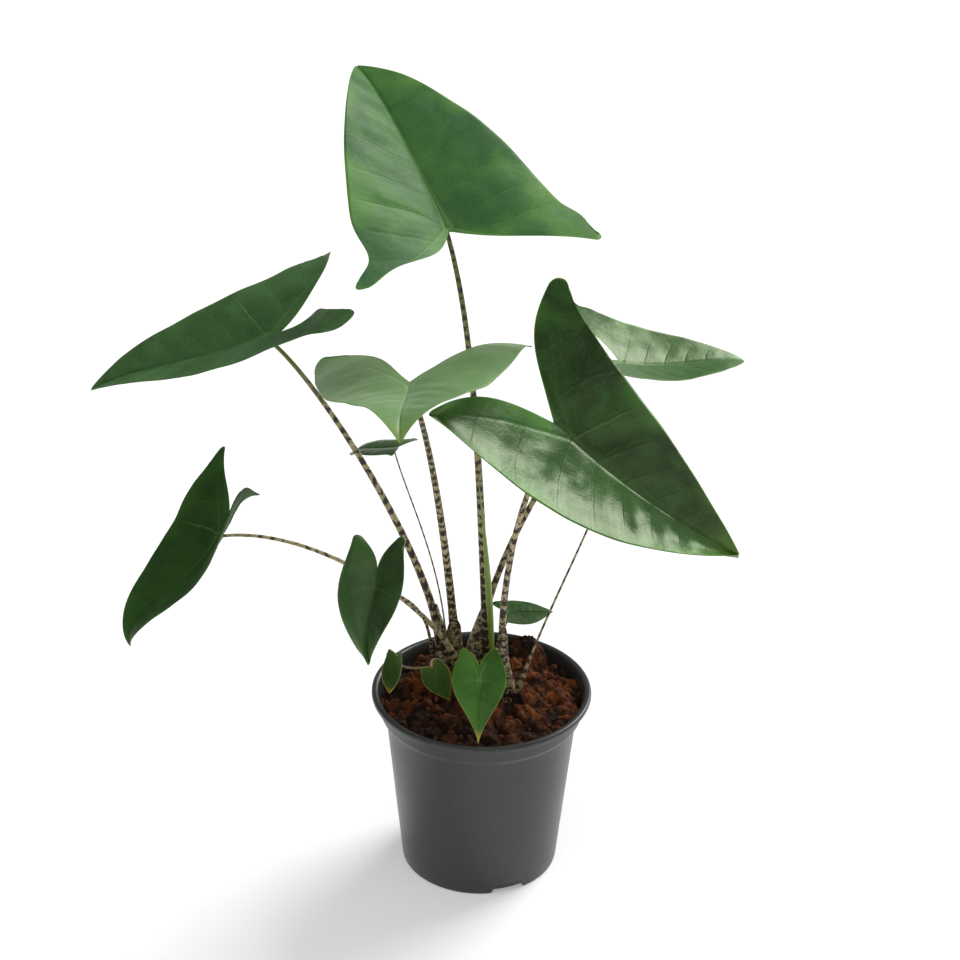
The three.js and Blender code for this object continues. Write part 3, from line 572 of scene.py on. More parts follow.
def unit(vectors):
    return vectors / np.maximum(np.linalg.norm(vectors, axis=-1, keepdims=True), 1e-9)


def closed_sheet(faces, count):
    """The faces of a closed sheet whose upper points come first and whose count under points follow."""
    edges = set()
    for face in faces:
        edges.update(zip(face, face[1:] + face[:1]))
    rim = [(a, b) for a, b in edges if (b, a) not in edges]
    closed = list(faces) + [tuple(v + count for v in reversed(face)) for face in faces]
    return closed + [(b, a, a + count, b + count) for a, b in sorted(rim)]


def blade(name, leaf, rows=BLADE_ROWS, columns=BLADE_COLUMNS):
    """One closed blade: an upper face with sunken veins, an under face with its raised ribs, and a thin
    rounded margin. Every point keeps where it lies in the leaf, in millimetres, for the skin's pattern."""
    join = leaf["length"] / (leaf["length"] + leaf["lobe"])
    notch = join + SINUS_SHARE * (1 - join)
    notch_row = int(rows * notch)
    to_notch = np.linspace(TIP_SHARE, notch, notch_row)
    s = np.concatenate([to_notch, np.linspace(notch, 1, rows - notch_row + 1)[1:]])
    s, t = np.meshgrid(s, np.linspace(0, 1, columns) ** COLUMN_CROWDING, indexing="ij")
    behind = np.clip((s - join) / (1 - join), 0, 1)
    vein = np.where(s <= join, VEINS_AHEAD * s / join, VEINS_AHEAD + VEINS_BEHIND * behind)
    vein = vein - VEIN_LEAN * t + VEIN_CURVE * t * t
    spacing = np.where(s <= join, leaf["length"] / VEINS_AHEAD, leaf["lobe"] / VEINS_BEHIND)
    swell = np.sin(np.pi * t) * np.sin(np.pi * s) ** 0.7
    rib_width = np.minimum(1, 0.35 + 0.65 * s / join) * (0.6 + 0.011 * leaf["length"])
    halves = []
    for side in (1, -1):
        half = half_of(leaf, side)
        x, y, width = flat_half(half, s, t)
        inner_margin = np.where(s > notch, t * width, 1e3)
        margin = np.minimum(np.minimum((1 - t) * width, inner_margin),
                            0.6 * (1 - s) * (leaf["lobe"] + leaf["length"]) + 0.2)
        # Distances from the midrib, which runs ahead of the join, and from the lobe's own rib behind it.
        off_rib = np.hypot(x, np.minimum(y, 0))
        lobe_centre = lobe_end_of(half)[0]
        reach = np.linalg.norm(lobe_centre)
        costa_at = (x * lobe_centre[0] + y * lobe_centre[1]) / reach ** 2
        costa_off = (x * lobe_centre[1] - y * lobe_centre[0]) / reach
        costa_off = costa_off - COSTA_BOW * reach * np.sin(np.pi * np.clip(costa_at, 0, 1))
        costa_off = np.hypot(costa_off, reach * np.minimum(costa_at, 0))
        costa_width = rib_width * (1 - 0.7 * np.clip(costa_at, 0, 1)) * 0.8
        rib = np.exp(-(off_rib / rib_width) ** 2)
        costa = np.exp(-(costa_off / costa_width) ** 2) * np.clip(1.15 - costa_at, 0, 1)
        # The panels between the veins are puckered, each by its own amount, the whole face is uneven, and the
        # margin waves a little.
        seed = 7.3 * len(name) + 11 * side
        own_pucker = 0.5 + np.modf(np.abs(np.sin(np.floor(vein) * 12.9 + seed)) * 43.7)[0]
        pucker = np.sin(np.pi * vein) ** 2 * own_pucker * half["quilt"] * leaf["half_width"] * swell
        ripple = sum(height * uneven(x, y, size, seed + 5 * n) for n, (height, size) in enumerate(RIPPLES))
        ruffle = uneven(x, y, RUFFLE_SIZE * leaf["half_width"], seed + 9)
        ruffle = RUFFLE_HEIGHT * leaf["half_width"] * ruffle
        pucker = pucker + ripple * half["wave"] * swell + half["crown"] * np.sin(np.pi * t)
        pucker = pucker + ruffle * t ** 4 * np.sin(np.pi * s) ** 0.5
        groove = RIB_GROOVE * np.minimum(1, rib_width) * rib
        groove = groove + COSTA_GROOVE * np.minimum(1, costa_width) * costa
        top = bent_half(half, side, x, y, pucker - groove)
        normal = unit(np.cross(np.gradient(top, axis=0), np.gradient(top, axis=1))) * side
        ridge = (RIB_THICKNESS + RIB_SHARE * leaf["length"]) * np.maximum(
            np.minimum(1, s / join + 0.1) * rib, 0.6 * costa) * np.clip(margin / RIBS_END, 0, 1)
        depth = BLADE_THICKNESS * (0.4 + 0.6 * np.clip(margin / THIN_MARGIN, 0, 1)) + ridge
        places = np.stack([vein, spacing, costa_at, side * off_rib, costa_off, rib_width, side * x, y, margin,
                           y / leaf["length"]], -1)
        halves.append((top, normal, depth, places))
    # The halves share their midrib, so the blade's normal there is the mean of both.
    shared = unit(halves[0][1][:notch_row, 0] + halves[1][1][:notch_row, 0])
    index = np.zeros((2, rows, columns), int)
    tops, unders, fields, faces = [], [], [], []
    count = 0
    for n, (top, normal, depth, places) in enumerate(halves):
        normal[:notch_row, 0] = shared
        own = np.ones((rows, columns), bool)
        if n == 1:
            own[:notch_row, 0] = False
            index[1, :notch_row, 0] = index[0, :notch_row, 0]
        index[n][own] = count + np.arange(own.sum())
        count += own.sum()
        tops.append(top[own])
        unders.append((top - normal * depth[..., None])[own])
        fields.append(places[own])
        a, b, c, d = index[n, :-1, :-1], index[n, 1:, :-1], index[n, 1:, 1:], index[n, :-1, 1:]
        faces += np.stack([a, b, c, d] if n == 0 else [a, d, c, b], -1).reshape(-1, 4).tolist()
    obj = make_object(name, np.concatenate(tops + unders), closed_sheet(faces, count))
    fields = np.concatenate(fields * 2)
    under = np.repeat([0.0, 1.0], count)
    for title, parts in (("veins", fields[:, 0:3]), ("ribs", fields[:, 3:6]),
                         ("flat", np.column_stack([fields[:, 6:8], under])),
                         ("edge", np.column_stack([fields[:, 8:10], under]))):
        keep_places(obj, title, parts)
    return obj


# A leaf's skin is living tissue under a coat of wax. Its midrib and side veins sink into the upper face, with
# quilted panels between them, a fine net of veinlets, a margin of fresher green and a duller underside.
def leaf_skin(name, face, shade, vein, margin, side_vein_and_groove_shade=None, under="#6f8a62", tip="#8aa53c", gloss=0.4,
              shine=0.3, vein_show=0.1, basal_show=0.3, rib_show=0.5, flush=0.5, flush_reach=9, yellow=0.0,
              mottle=0.5, patch=30, lit_right_half=0.0, streaks=0.3, relief_depth=0.4):
    """The material of a leaf from its own colours. gloss is its roughness and shine how much it reflects. The
    shows say how plain the side veins, the vein from the join and the ribs are, and yellow how aged the tip
    is. patch is the size of the patches of darker green, and the right-half share keeps them off the right
    half, which paints that half lighter as painted light."""
    tree = new_tree(name)
    veins, ribs, flat, edge = (
        add(tree, "Attribute", attribute_name=title)["Vector"] for title in ("veins", "ribs", "flat", "edge"))
    vein_at, spacing, costa_at = add(tree, "SeparateXYZ", {0: veins})
    off_rib, off_costa, rib_width = add(tree, "SeparateXYZ", {0: ribs})
    margin_at, ahead, below = add(tree, "SeparateXYZ", {0: edge})
    off_rib = add(tree, "Math", {0: off_rib}, operation="ABSOLUTE")[0]

    # The uneven green of the face, in broad patches and in blotches of about 7 mm.
    patches = add(tree, "TexNoise", {"Vector": flat, "Scale": 1 / patch, "Detail": 3, "Distortion": 0.6})[0]
    patches = add(tree, "MapRange", {0: patches, 1: 0.38, 2: 0.64})[0]
    # Painted light: the right half can be kept clear of the darker patches, so that it is painted lighter, as
    # if it faced the light.
    on_right = add(tree, "SeparateXYZ", {0: flat})[0]
    on_right = add(tree, "MapRange", {0: on_right, 1: -6, 2: 6})[0]
    patches = add(tree, "Mix", {0: lit_right_half, 2: patches, 3: on_right})[0]
    blotches = add(tree, "TexNoise", {"Vector": flat, "Scale": 1 / 7, "Detail": 5, "Roughness": 0.65})[0]
    blotches = add(tree, "MapRange", {0: blotches, 1: 0.35, 2: 0.7, 4: mottle})[0]

    # Side veins: the distance to the nearest one in millimetres makes a line that fades towards the margin.
    # The vein that leaves the join, which is number six from the tip, stands out more than the others.
    wander = add(tree, "TexNoise", {"Vector": flat, "Scale": 1 / 18, "Detail": 2})[0]
    wander = add(tree, "Math", {0: wander, 1: 0.12, 2: 0.44}, operation="MULTIPLY_ADD")[0]
    off_vein = vein_at
    for step, value in (("ADD", wander), ("FRACT", 0), ("SUBTRACT", 0.5), ("ABSOLUTE", 0),
                        ("MULTIPLY", spacing)):
        off_vein = add(tree, "Math", {0: off_vein, 1: value}, operation=step)[0]
    line = add(tree, "MapRange", {0: off_vein, 1: 0.15, 2: 0.8, 3: 1, 4: 0},
               interpolation_type="SMOOTHSTEP")[0]
    near_margin = add(tree, "MapRange", {0: margin_at, 1: 1, 2: 22})[0]
    line = add(tree, "Math", {0: line, 1: near_margin}, operation="MULTIPLY")[0]
    # Where a leaf gives its side veins a dark colour, this line is painted shade along their grooves.
    others = add(tree, "Math", {0: line, 1: vein_show}, operation="MULTIPLY")[0]
    from_basal = add(tree, "Math", {0: vein_at, 1: VEINS_AHEAD}, operation="SUBTRACT")[0]
    from_basal = add(tree, "Math", {0: from_basal}, operation="ABSOLUTE")[0]
    basal = add(tree, "MapRange", {0: from_basal, 1: 0.3, 2: 0.6, 3: basal_show, 4: 0})[0]
    basal = add(tree, "Math", {0: line, 1: basal}, operation="MULTIPLY")[0]

    # The lobe's rib is one more pale line. Beside the midrib a light strip fades from the join to the tip,
    # and widens to a wedge where the stem joins. Along the midrib's groove a dark line is painted, as painted
    # shade.
    costa = add(tree, "MapRange", {0: off_costa, 1: 0.25, 2: 0.85, 3: 1, 4: 0},
                interpolation_type="SMOOTHSTEP")[0]
    costa_fade = add(tree, "MapRange", {0: costa_at, 1: 0.1, 2: 1.0, 3: 0.75 * rib_show, 4: 0})[0]
    costa = add(tree, "Math", {0: costa, 1: costa_fade}, operation="MULTIPLY")[0]
    in_rib = add(tree, "Math", {0: off_rib, 1: rib_width}, operation="DIVIDE")[0]
    wedge = add(tree, "MapRange", {0: ahead, 1: 0.0, 2: 0.2, 3: 0.36, 4: 1})[0]
    wedge = add(tree, "Math", {0: in_rib, 1: wedge}, operation="MULTIPLY")[0]
    strip = add(tree, "MapRange", {0: wedge, 1: 0.45, 2: 1.0, 3: 1, 4: 0}, interpolation_type="SMOOTHSTEP")[0]
    strip_fade = add(tree, "MapRange", {0: ahead, 1: 0.0, 2: 0.75, 3: rib_show, 4: 0.2 * rib_show})[0]
    strip = add(tree, "Math", {0: strip, 1: strip_fade}, operation="MULTIPLY")[0]
    bright = basal
    for rib in (costa, strip):
        bright = add(tree, "Math", {0: bright, 1: rib}, operation="MAXIMUM")[0]
    # Painted shade: a dark line along the midrib's groove.
    painted_crease_shade = add(tree, "MapRange", {0: in_rib, 1: 0.2, 2: 0.5, 3: 0.6, 4: 0})[0]

    # A net of veinlets about 4 mm across, and fine lines that run with the side veins.
    net = add(tree, "TexVoronoi", {"Vector": flat, "Scale": 1 / 4.2},
              feature="DISTANCE_TO_EDGE", voronoi_dimensions="2D")[0]
    net = add(tree, "MapRange", {0: net, 1: 0.0, 2: 0.12, 3: 1, 4: 0})[0]
    faint_net = add(tree, "Math", {0: net, 1: 0.05}, operation="MULTIPLY")[0]
    across_lines = add(tree, "Math", {0: vein_at, 1: 7.0}, operation="MULTIPLY")[0]
    along_lines = add(tree, "Math", {0: margin_at, 1: 1 / 35}, operation="MULTIPLY")[0]
    run = add(tree, "CombineXYZ", {0: across_lines, 1: along_lines, 2: costa_at})[0]
    lines = add(tree, "TexNoise", {"Vector": run, "Scale": 1.0, "Detail": 3})[0]

    # The margin: a flush of fresher green that comes and goes, and a thin line at the very edge.
    fresh = add(tree, "MapRange", {0: margin_at, 1: 0.5, 2: flush_reach, 3: flush, 4: 0})[0]
    fresh = add(tree, "Math", {0: fresh, 1: patches}, operation="MULTIPLY")[0]
    at_edge = add(tree, "MapRange", {0: margin_at, 1: 0.3, 2: 0.9, 3: 0.6, 4: 0})[0]
    aged = add(tree, "MapRange", {0: ahead, 1: 0.78, 2: 1.0, 3: 0, 4: yellow})[0]

    # The upper face has all of these over its shade. The underside is paler and greyer, with paler veins.
    colour = shade
    for share, tone in ((patches, face), (blotches, face), (others, side_vein_and_groove_shade or vein), (bright, vein),
                        (painted_crease_shade, shade), (faint_net, vein), (fresh, margin), (at_edge, margin), (aged, tip)):
        colour = add(tree, "Mix", {0: share, 6: colour, 7: tone}, data_type="RGBA")[2]
    pale = add(tree, "Mix", {0: bright, 6: under, 7: "#b4c194"}, data_type="RGBA")[2]
    colour = add(tree, "Mix", {0: below, 6: colour, 7: pale}, data_type="RGBA")[2]

    # Relief: sunken veins above, standing veins below, and a skin that is not quite even.
    sunk = add(tree, "MapRange", {0: below, 3: -1, 4: 1})[0]
    relief = add(tree, "MapRange", {0: off_vein, 1: 0.0, 2: 1.8, 3: 1, 4: 0},
                 interpolation_type="SMOOTHSTEP")[0]
    relief = add(tree, "Math", {0: relief, 1: near_margin}, operation="MULTIPLY")[0]
    relief = add(tree, "Math", {0: net, 1: 0.15, 2: relief}, operation="MULTIPLY_ADD")[0]
    relief = add(tree, "Math", {0: relief, 1: sunk}, operation="MULTIPLY")[0]
    dimples = add(tree, "TexNoise", {"Vector": flat, "Scale": 1 / 6, "Detail": 2})[0]
    for height, share in ((dimples, 1.1), (lines, streaks)):
        relief = add(tree, "Math", {0: height, 1: share, 2: relief}, operation="MULTIPLY_ADD")[0]
    bump = add(tree, "Bump", {"Height": relief, "Strength": 0.5, "Distance": relief_depth * METRES})[0]
    dull = add(tree, "MapRange", {0: below, 3: gloss, 4: 0.6})[0]
    rough = add(tree, "MapRange", {0: lines, 1: 0.3, 2: 0.7, 3: -0.03, 4: 0.05})[0]
    rough = add(tree, "Math", {0: dull, 1: rough}, operation="ADD")[0]
    shader = add(tree, "BsdfPrincipled", {
        "Base Color": colour, "Roughness": rough, "IOR": 1.45, "Specular IOR Level": shine,
        "Specular Tint": "#dcebbd", "Normal": bump})[0]
    add(tree, "OutputMaterial", {"Surface": shader})
    return name


# ------------------------------------------------------------------------------------------ stem form
# A stem is a round, fleshy leaf stalk. It is cream to olive with irregular dark brown bands, thins towards
# its blade, and widens at the foot, where some stems wrap the younger ones in a sheath.

FOOT_GAP = 0.35
CURVE_POINTS = 400
ROD_SIDES = 20
ROD_STEP = 1.6
SHEATH_ROWS = 44
SHEATH_COLUMNS = 28
SHEATH_GAP = 0.3
SHEATH_THICKNESS = 0.5
SHEATH_TIP_SPAN = 0.25


def curve_through(*ends):
    """Points on the cubic curve from the first to the last of four points, pulled by the two between."""
    run = np.linspace(0, 1, CURVE_POINTS)[:, None]
    a, b, c, d = (np.array(p, float) for p in ends)
    return (1 - run) ** 3 * a + 3 * run * (1 - run) ** 2 * b + 3 * run ** 2 * (1 - run) * c + run ** 3 * d


def stem_line(leaf):
    """The stem's centre line from its foot on the crown to the underside of its blade's midrib."""
    up = (blade_frame(leaf).to_3x3() @ Vector((0, 0, 1))).normalized()
    depth = RIB_THICKNESS + RIB_SHARE * leaf["length"]
    end = Vector(leaf["join"]) - up * (1 + 0.4 * depth)
    return curve_through(Vector((*leaf["foot"], CROWN_TOP + FOOT_GAP)), *leaf["pulls"], end)


def evenly(curve, count):
    """Points at even steps along a fine curve, with their tangents and the curve's length."""
    walked = np.concatenate([[0], np.cumsum(np.linalg.norm(np.diff(curve, axis=0), axis=1))])
    at = np.linspace(0, walked[-1], count)
    points = np.stack([np.interp(at, walked, curve[:, k]) for k in range(3)], -1)
    return points, unit(np.gradient(points, axis=0)), walked[-1]


def rod(name, curve, radius_at):
    """A closed round rod along a curve, which stores its own skin coordinates in millimetres."""
    count = max(12, int(evenly(curve, 3)[2] / ROD_STEP))
    centres, tangents, length = evenly(curve, count)
    tangents[0] = (0, 0, 1)
    share = np.linspace(0, 1, count)
    across = unit(np.cross((0, 1, 0), tangents))
    beside = np.cross(tangents, across)
    angles = np.arange(ROD_SIDES) * 2 * np.pi / ROD_SIDES
    radii = np.array([radius_at(v) for v in share])
    ring = np.cos(angles)[None, :, None] * across[:, None] + np.sin(angles)[None, :, None] * beside[:, None]
    points = centres[:, None] + radii[:, None, None] * ring
    skin = np.stack(np.broadcast_arrays(radii[:, None] * np.cos(angles), radii[:, None] * np.sin(angles),
                                        (share * length)[:, None]), -1).reshape(-1, 3)
    faces = []
    for start in range(0, (count - 1) * ROD_SIDES, ROD_SIDES):
        for k in range(ROD_SIDES):
            a, b = start + k, start + (k + 1) % ROD_SIDES
            faces.append((a, b, b + ROD_SIDES, a + ROD_SIDES))
    faces.append(tuple(reversed(range(ROD_SIDES))))
    faces.append(tuple(range((count - 1) * ROD_SIDES, count * ROD_SIDES)))
    obj = make_object(name, points.reshape(-1, 3), faces)
    keep_places(obj, "skin", skin)
    return obj


# The skin of a stalk is smooth and fleshy: soft-edged dark brown bands and broken blotches on a cream ground
# that turns olive near the blade.
def banded_skin(name, pale, dark, band=4.5, cover=0.5, low_cover=None, green=0.0, plain_from=1e3,
                broken=0.48):
    """The material of a stalk. band is the spacing of its bands in millimetres, cover how much of the skin
    they take, with low_cover at the foot, plain_from the height at which they give way to plain green, and
    broken how much the bands fall apart into blotches."""
    tree = new_tree(name)
    skin = add(tree, "Attribute", attribute_name="skin")["Vector"]
    height = add(tree, "SeparateXYZ", {0: skin})[2]
    noises = []
    for scale, detail, rough in (((0.28, 0.28, 0.09), 2, 0.5), ((0.24, 0.24, 1.0 / band), 3, 0.6),
                                 ((0.5, 0.5, 0.5), 4, 0.5)):
        scaled = add(tree, "Mapping", {"Vector": skin, "Scale": scale})[0]
        noises.append(add(tree, "TexNoise", {
            "Vector": scaled, "Scale": 1.0, "Detail": detail, "Roughness": rough})[0])
    sway, blot, grain = noises
    sway = add(tree, "Math", {0: sway, 1: 3.2}, operation="MULTIPLY")[0]
    phase = add(tree, "Math", {0: height, 1: 1 / band, 2: sway}, operation="MULTIPLY_ADD")[0]
    ring = add(tree, "Math", {0: phase, 1: 1.0}, operation="PINGPONG")[0]
    blot = add(tree, "MapRange", {0: blot, 1: 0.3, 2: 0.7})[0]
    value = add(tree, "Mix", {0: broken, 2: ring, 3: blot})[0]
    low_edge = 1 - (cover if low_cover is None else low_cover)
    edge = add(tree, "MapRange", {0: height, 1: 20, 2: 170, 3: low_edge, 4: 1 - cover})[0]
    value = add(tree, "Math", {0: value, 1: edge}, operation="SUBTRACT")[0]
    mask = add(tree, "MapRange", {0: value, 1: -0.11, 2: 0.11}, interpolation_type="SMOOTHSTEP")[0]
    plain = add(tree, "MapRange", {0: height, 1: plain_from - 50, 2: plain_from, 3: 1, 4: 0})[0]
    mask = add(tree, "Math", {0: mask, 1: plain}, operation="MULTIPLY")[0]
    grain = add(tree, "MapRange", {0: grain, 1: 0.35, 2: 0.65})[0]
    greener = add(tree, "MapRange", {0: height, 1: 100, 2: 330, 3: 0, 4: green})[0]
    olive = "#5d6f2e"
    ground = add(tree, "Mix", {0: grain, 6: pale, 7: "#978860"}, data_type="RGBA")[2]
    ground = add(tree, "Mix", {0: greener, 6: ground, 7: olive}, data_type="RGBA")[2]
    ground = add(tree, "Mix", {0: plain, 6: olive, 7: ground}, data_type="RGBA")[2]
    deep = add(tree, "Mix", {0: grain, 6: dark, 7: "#3f3222"}, data_type="RGBA")[2]
    colour = add(tree, "Mix", {0: mask, 6: ground, 7: deep}, data_type="RGBA")[2]
    bump = add(tree, "Bump", {"Height": grain, "Strength": 0.2, "Distance": 0.0002})[0]
    shader = add(tree, "BsdfPrincipled", {
        "Base Color": colour, "Roughness": 0.48, "Specular IOR Level": 0.35, "Normal": bump})[0]
    add(tree, "OutputMaterial", {"Surface": shader})
    return name


def stem_radius(leaf, share):
    foot, middle, top = leaf["radii"]
    return middle + (top - middle) * share + (foot - middle) * (1 - float(smoothstep(0, 0.2, share)))


def grow(name, leaf, skin, slot, stalk_skin, **detail):
    """Makes one leaf of the plant: its blade and the stem that carries it."""
    dress(blade(f"leaf_{name}", leaf, **detail), skin, f"blade_{name}")
    stalk = rod(f"stem_{name}", stem_line(leaf), lambda share: stem_radius(leaf, share))
    dress(stalk, stalk_skin, f"petiole_{name}")


# A sheath is the winged foot of a stem: a thin sheet that wraps part of the way round it and runs out up it.
banded_skin("mottled_sheath", "#b5a888", "#2e2319", band=3, cover=0.5, green=0.2, broken=0.9)


def sheath(name, leaf, facing, height, flare, wrap):
    """facing is the way the sheath's middle looks, in degrees from the plant's right, flare how far it stands
    off the stem at its foot, and wrap how far it reaches round to each side."""
    curve, tangents, length = evenly(stem_line(leaf), CURVE_POINTS)
    ahead = np.array([math.cos(math.radians(facing)), math.sin(math.radians(facing)), 0])
    last = CURVE_POINTS - 1
    points, skin = [], []
    for layer in (0, 1):
        for v in np.linspace(0, 1, SHEATH_ROWS):
            k = min(last, int(v * height / length * last))
            forward = ahead - tangents[k] * np.dot(tangents[k], ahead)
            forward /= np.linalg.norm(forward)
            beside = np.cross(tangents[k], forward)
            span = math.radians(wrap) * (1 - v) ** 0.6 + SHEATH_TIP_SPAN
            for u in np.linspace(-1, 1, SHEATH_COLUMNS):
                wing = flare * (1 - v) ** 1.2 * max(0.0, math.cos(u * span * 0.5))
                stand = SHEATH_GAP + wing + abs(u) ** 3 - SHEATH_THICKNESS * layer
                reach = stem_radius(leaf, k / last) + stand
                angle = u * span
                points.append(curve[k] + reach * (math.cos(angle) * forward + math.sin(angle) * beside))
                skin.append((reach * math.cos(angle), reach * math.sin(angle), v * height))
    faces = []
    for start in range(0, (SHEATH_ROWS - 1) * SHEATH_COLUMNS, SHEATH_COLUMNS):
        for a in range(start, start + SHEATH_COLUMNS - 1):
            faces.append((a, a + 1, a + SHEATH_COLUMNS + 1, a + SHEATH_COLUMNS))
    obj = make_object(f"sheath_{name}", points, closed_sheet(faces, SHEATH_ROWS * SHEATH_COLUMNS))
    keep_places(obj, "skin", skin)
    dress(obj, "mottled_sheath")


# ------------------------------------------------------------------------------------------ top leaf
# The highest leaf leans back and shows its whole upper face, mid-green with a soft sheen on its left half.
# Its tip droops out of sight over the crest and its left lobe ends in a small rounded tail.

top = dict(
    join=(-30, 30, 523), heading=-27, rise=33, roll=3, length=171, half_width=99, lobe=56, sinus=4,
    shoulder=0.87, inner_shoulder=0.93, dish=-8, tip_droop=17, fold=25, margin_droop=29, twist=-4,
    left_half=dict(lobe_end=14, outer_bulge=0.066, inner_bulge=0.02, inner_wave=0.05, neck=0.046,
                   lobe_lift=0, lobe_curl=-16, lobe_roll=-4),
    right_half=dict(lobe_end=8, outer_bulge=0.069, inner_bulge=0.014, inner_wave=0.005, neck=-0.027,
                    lobe_lift=-27, lobe_curl=5, lobe_roll=3),
    foot=(5, 39.5), pulls=((-4, 39, 294), (-6, 34, 434)), radii=(4.4, 3.6, 1.7),
)
grow("top", top, leaf_skin(
    "waxy_leaf_top", face="#4c7b3c", shade="#356037", vein="#93b56c", margin="#6f9f45", side_vein_and_groove_shade="#2f5c2c",
    gloss=0.44, shine=0.2, vein_show=0.3, basal_show=0.1, rib_show=0.35, flush=0.4, flush_reach=26, patch=48,
    mottle=0.15), "leaf_mid", banded_skin(
    "banded_stem_top", "#b5aa82", "#251b14", band=4, cover=0.47, low_cover=0.7, green=0.9))

# ------------------------------------------------------------------------------------------ left leaf
# A dark, satin leaf that points to the left, with thin pale veins. The lobe of its left half, which is the
# nearer one, stands out as a narrow horn with a rounded end.

left = dict(
    join=(-159, 10, 443), heading=-92, rise=-20, roll=-3, length=137, half_width=76, lobe=61, sinus=7,
    shoulder=0.86, inner_shoulder=0.61, dish=15, tip_droop=27, fold=30, margin_droop=28, twist=16,
    left_half=dict(lobe_end=13, outer_bulge=0.088, inner_bulge=0.17, inner_wave=0.03, neck=0.045,
                   lobe_lift=7, lobe_curl=12, lobe_roll=-29),
    right_half=dict(lobe_end=22, outer_bulge=0.024, inner_bulge=0.043, inner_wave=0.015, neck=-0.023,
                    lobe_lift=0, lobe_curl=-31, lobe_roll=-6),
    foot=(-31.5, 37.5), pulls=((-29, 26, 237), (-126, 32, 404)), radii=(5, 3.4, 1.5),
)
grow("left", left, leaf_skin(
    "waxy_leaf_left", face="#496d42", shade="#365a30", vein="#7a9a66", margin="#55783e", gloss=0.5, shine=0.2,
    vein_show=0.08, basal_show=0.4, rib_show=0.4), "leaf_deep", banded_skin(
    "banded_stem_left", "#c2b78e", "#2c2118", band=5, cover=0.5, low_cover=0.6, green=0.5, plain_from=300))
sheath("left", left, facing=-10, height=58, flare=5.5, wrap=95)

# ------------------------------------------------------------------------------------------ centre leaf
# This leaf points at the viewer, and its tip droops into a narrow spout. Its face is broad and evenly lit,
# with hardly any veins to see. Its pale grey-green is partly its own colour and partly painted sheen, and its
# right half is painted lighter still, as painted light.

centre = dict(
    join=(-54, -70, 444), heading=182, rise=6, roll=11, length=102, half_width=84, lobe=98, sinus=10,
    shoulder=1.1, inner_shoulder=1.21, dish=24, tip_droop=77, fold=14, margin_droop=46, twist=10, quilt=0.004,
    left_half=dict(lobe_end=4, outer_bulge=0.08, inner_bulge=0.021, inner_wave=-0.02, lobe_lift=19,
                   lobe_curl=13, lobe_roll=3),
    right_half=dict(lobe_end=13, outer_bulge=0.055, inner_bulge=0.141, inner_wave=-0.011, neck=-0.006,
                    lobe_lift=-16, lobe_curl=-14, lobe_roll=17),
    foot=(-20, 45), pulls=((-26, 22, 251), (-40, -24, 391)), radii=(4.6, 3.6, 1.8),
)
grow("centre", centre, leaf_skin(
    "waxy_leaf_centre", face="#789a66", shade="#5d804b", vein="#9dbb7c", margin="#6f9a42",
    side_vein_and_groove_shade="#47703a", gloss=0.42, shine=0.5, vein_show=0.08, basal_show=0.1, rib_show=0.25, flush=0.3,
    patch=45, mottle=0.12, yellow=0.5, lit_right_half=0.5, relief_depth=0.2), "leaf_mid", banded_skin(
    "banded_stem_centre", "#bcb187", "#2c2118", band=4, cover=0.54, low_cover=0.58, green=0.5))
sheath("centre", centre, facing=-80, height=48, flare=2.2, wrap=150)

# ------------------------------------------------------------------------------------------ right leaf
# The largest and glossiest leaf hangs over the right side of the pot. Its panels are strongly quilted, so
# the light breaks up into patches on its lower half.

right = dict(
    join=(62, -50, 394), heading=108, rise=-38, roll=24, length=145, half_width=80, lobe=93, sinus=18,
    shoulder=0.88, inner_shoulder=1.01, dish=27, tip_droop=0, fold=13, margin_droop=4, twist=-5, quilt=0.015,
    wave=0.75,
    left_half=dict(lobe_end=18, outer_bulge=0.066, inner_bulge=0.083, inner_wave=-0.02, neck=0.004,
                   lobe_lift=-26, lobe_curl=-11, lobe_roll=9),
    right_half=dict(lobe_end=6, outer_bulge=0.096, inner_bulge=0.14, neck=0.002, lobe_lift=1, lobe_curl=-11,
                    crown=-4),
    foot=(19, 1), pulls=((6, -9, 213), (25, -30, 380)), radii=(5.2, 3, 1.8),
)
# The right half of this leaf is painted lighter than its left, as painted light.
grow("right", right, leaf_skin(
    "waxy_leaf_right", face="#3a6631", shade="#0f2609", vein="#7ba05c", margin="#5f9436", side_vein_and_groove_shade="#1a3616",
    gloss=0.31, shine=0.62, vein_show=0.2, basal_show=0.17, rib_show=0.1, flush=0.6, flush_reach=14, patch=40,
    streaks=0.2, yellow=0.2, lit_right_half=0.55, mottle=0.15), "leaf_deep", banded_skin(
    "banded_stem_right", "#c9b89a", "#33251a", band=5, cover=0.5, low_cover=0.56, broken=0.6))
sheath("right", right, facing=-75, height=66, flare=2.8, wrap=140)

# ------------------------------------------------------------------------------------------ back leaf
# A mid-green, glossy leaf behind the right one. It is seen nearly edge on, and its quilted panels catch the
# light one by one.

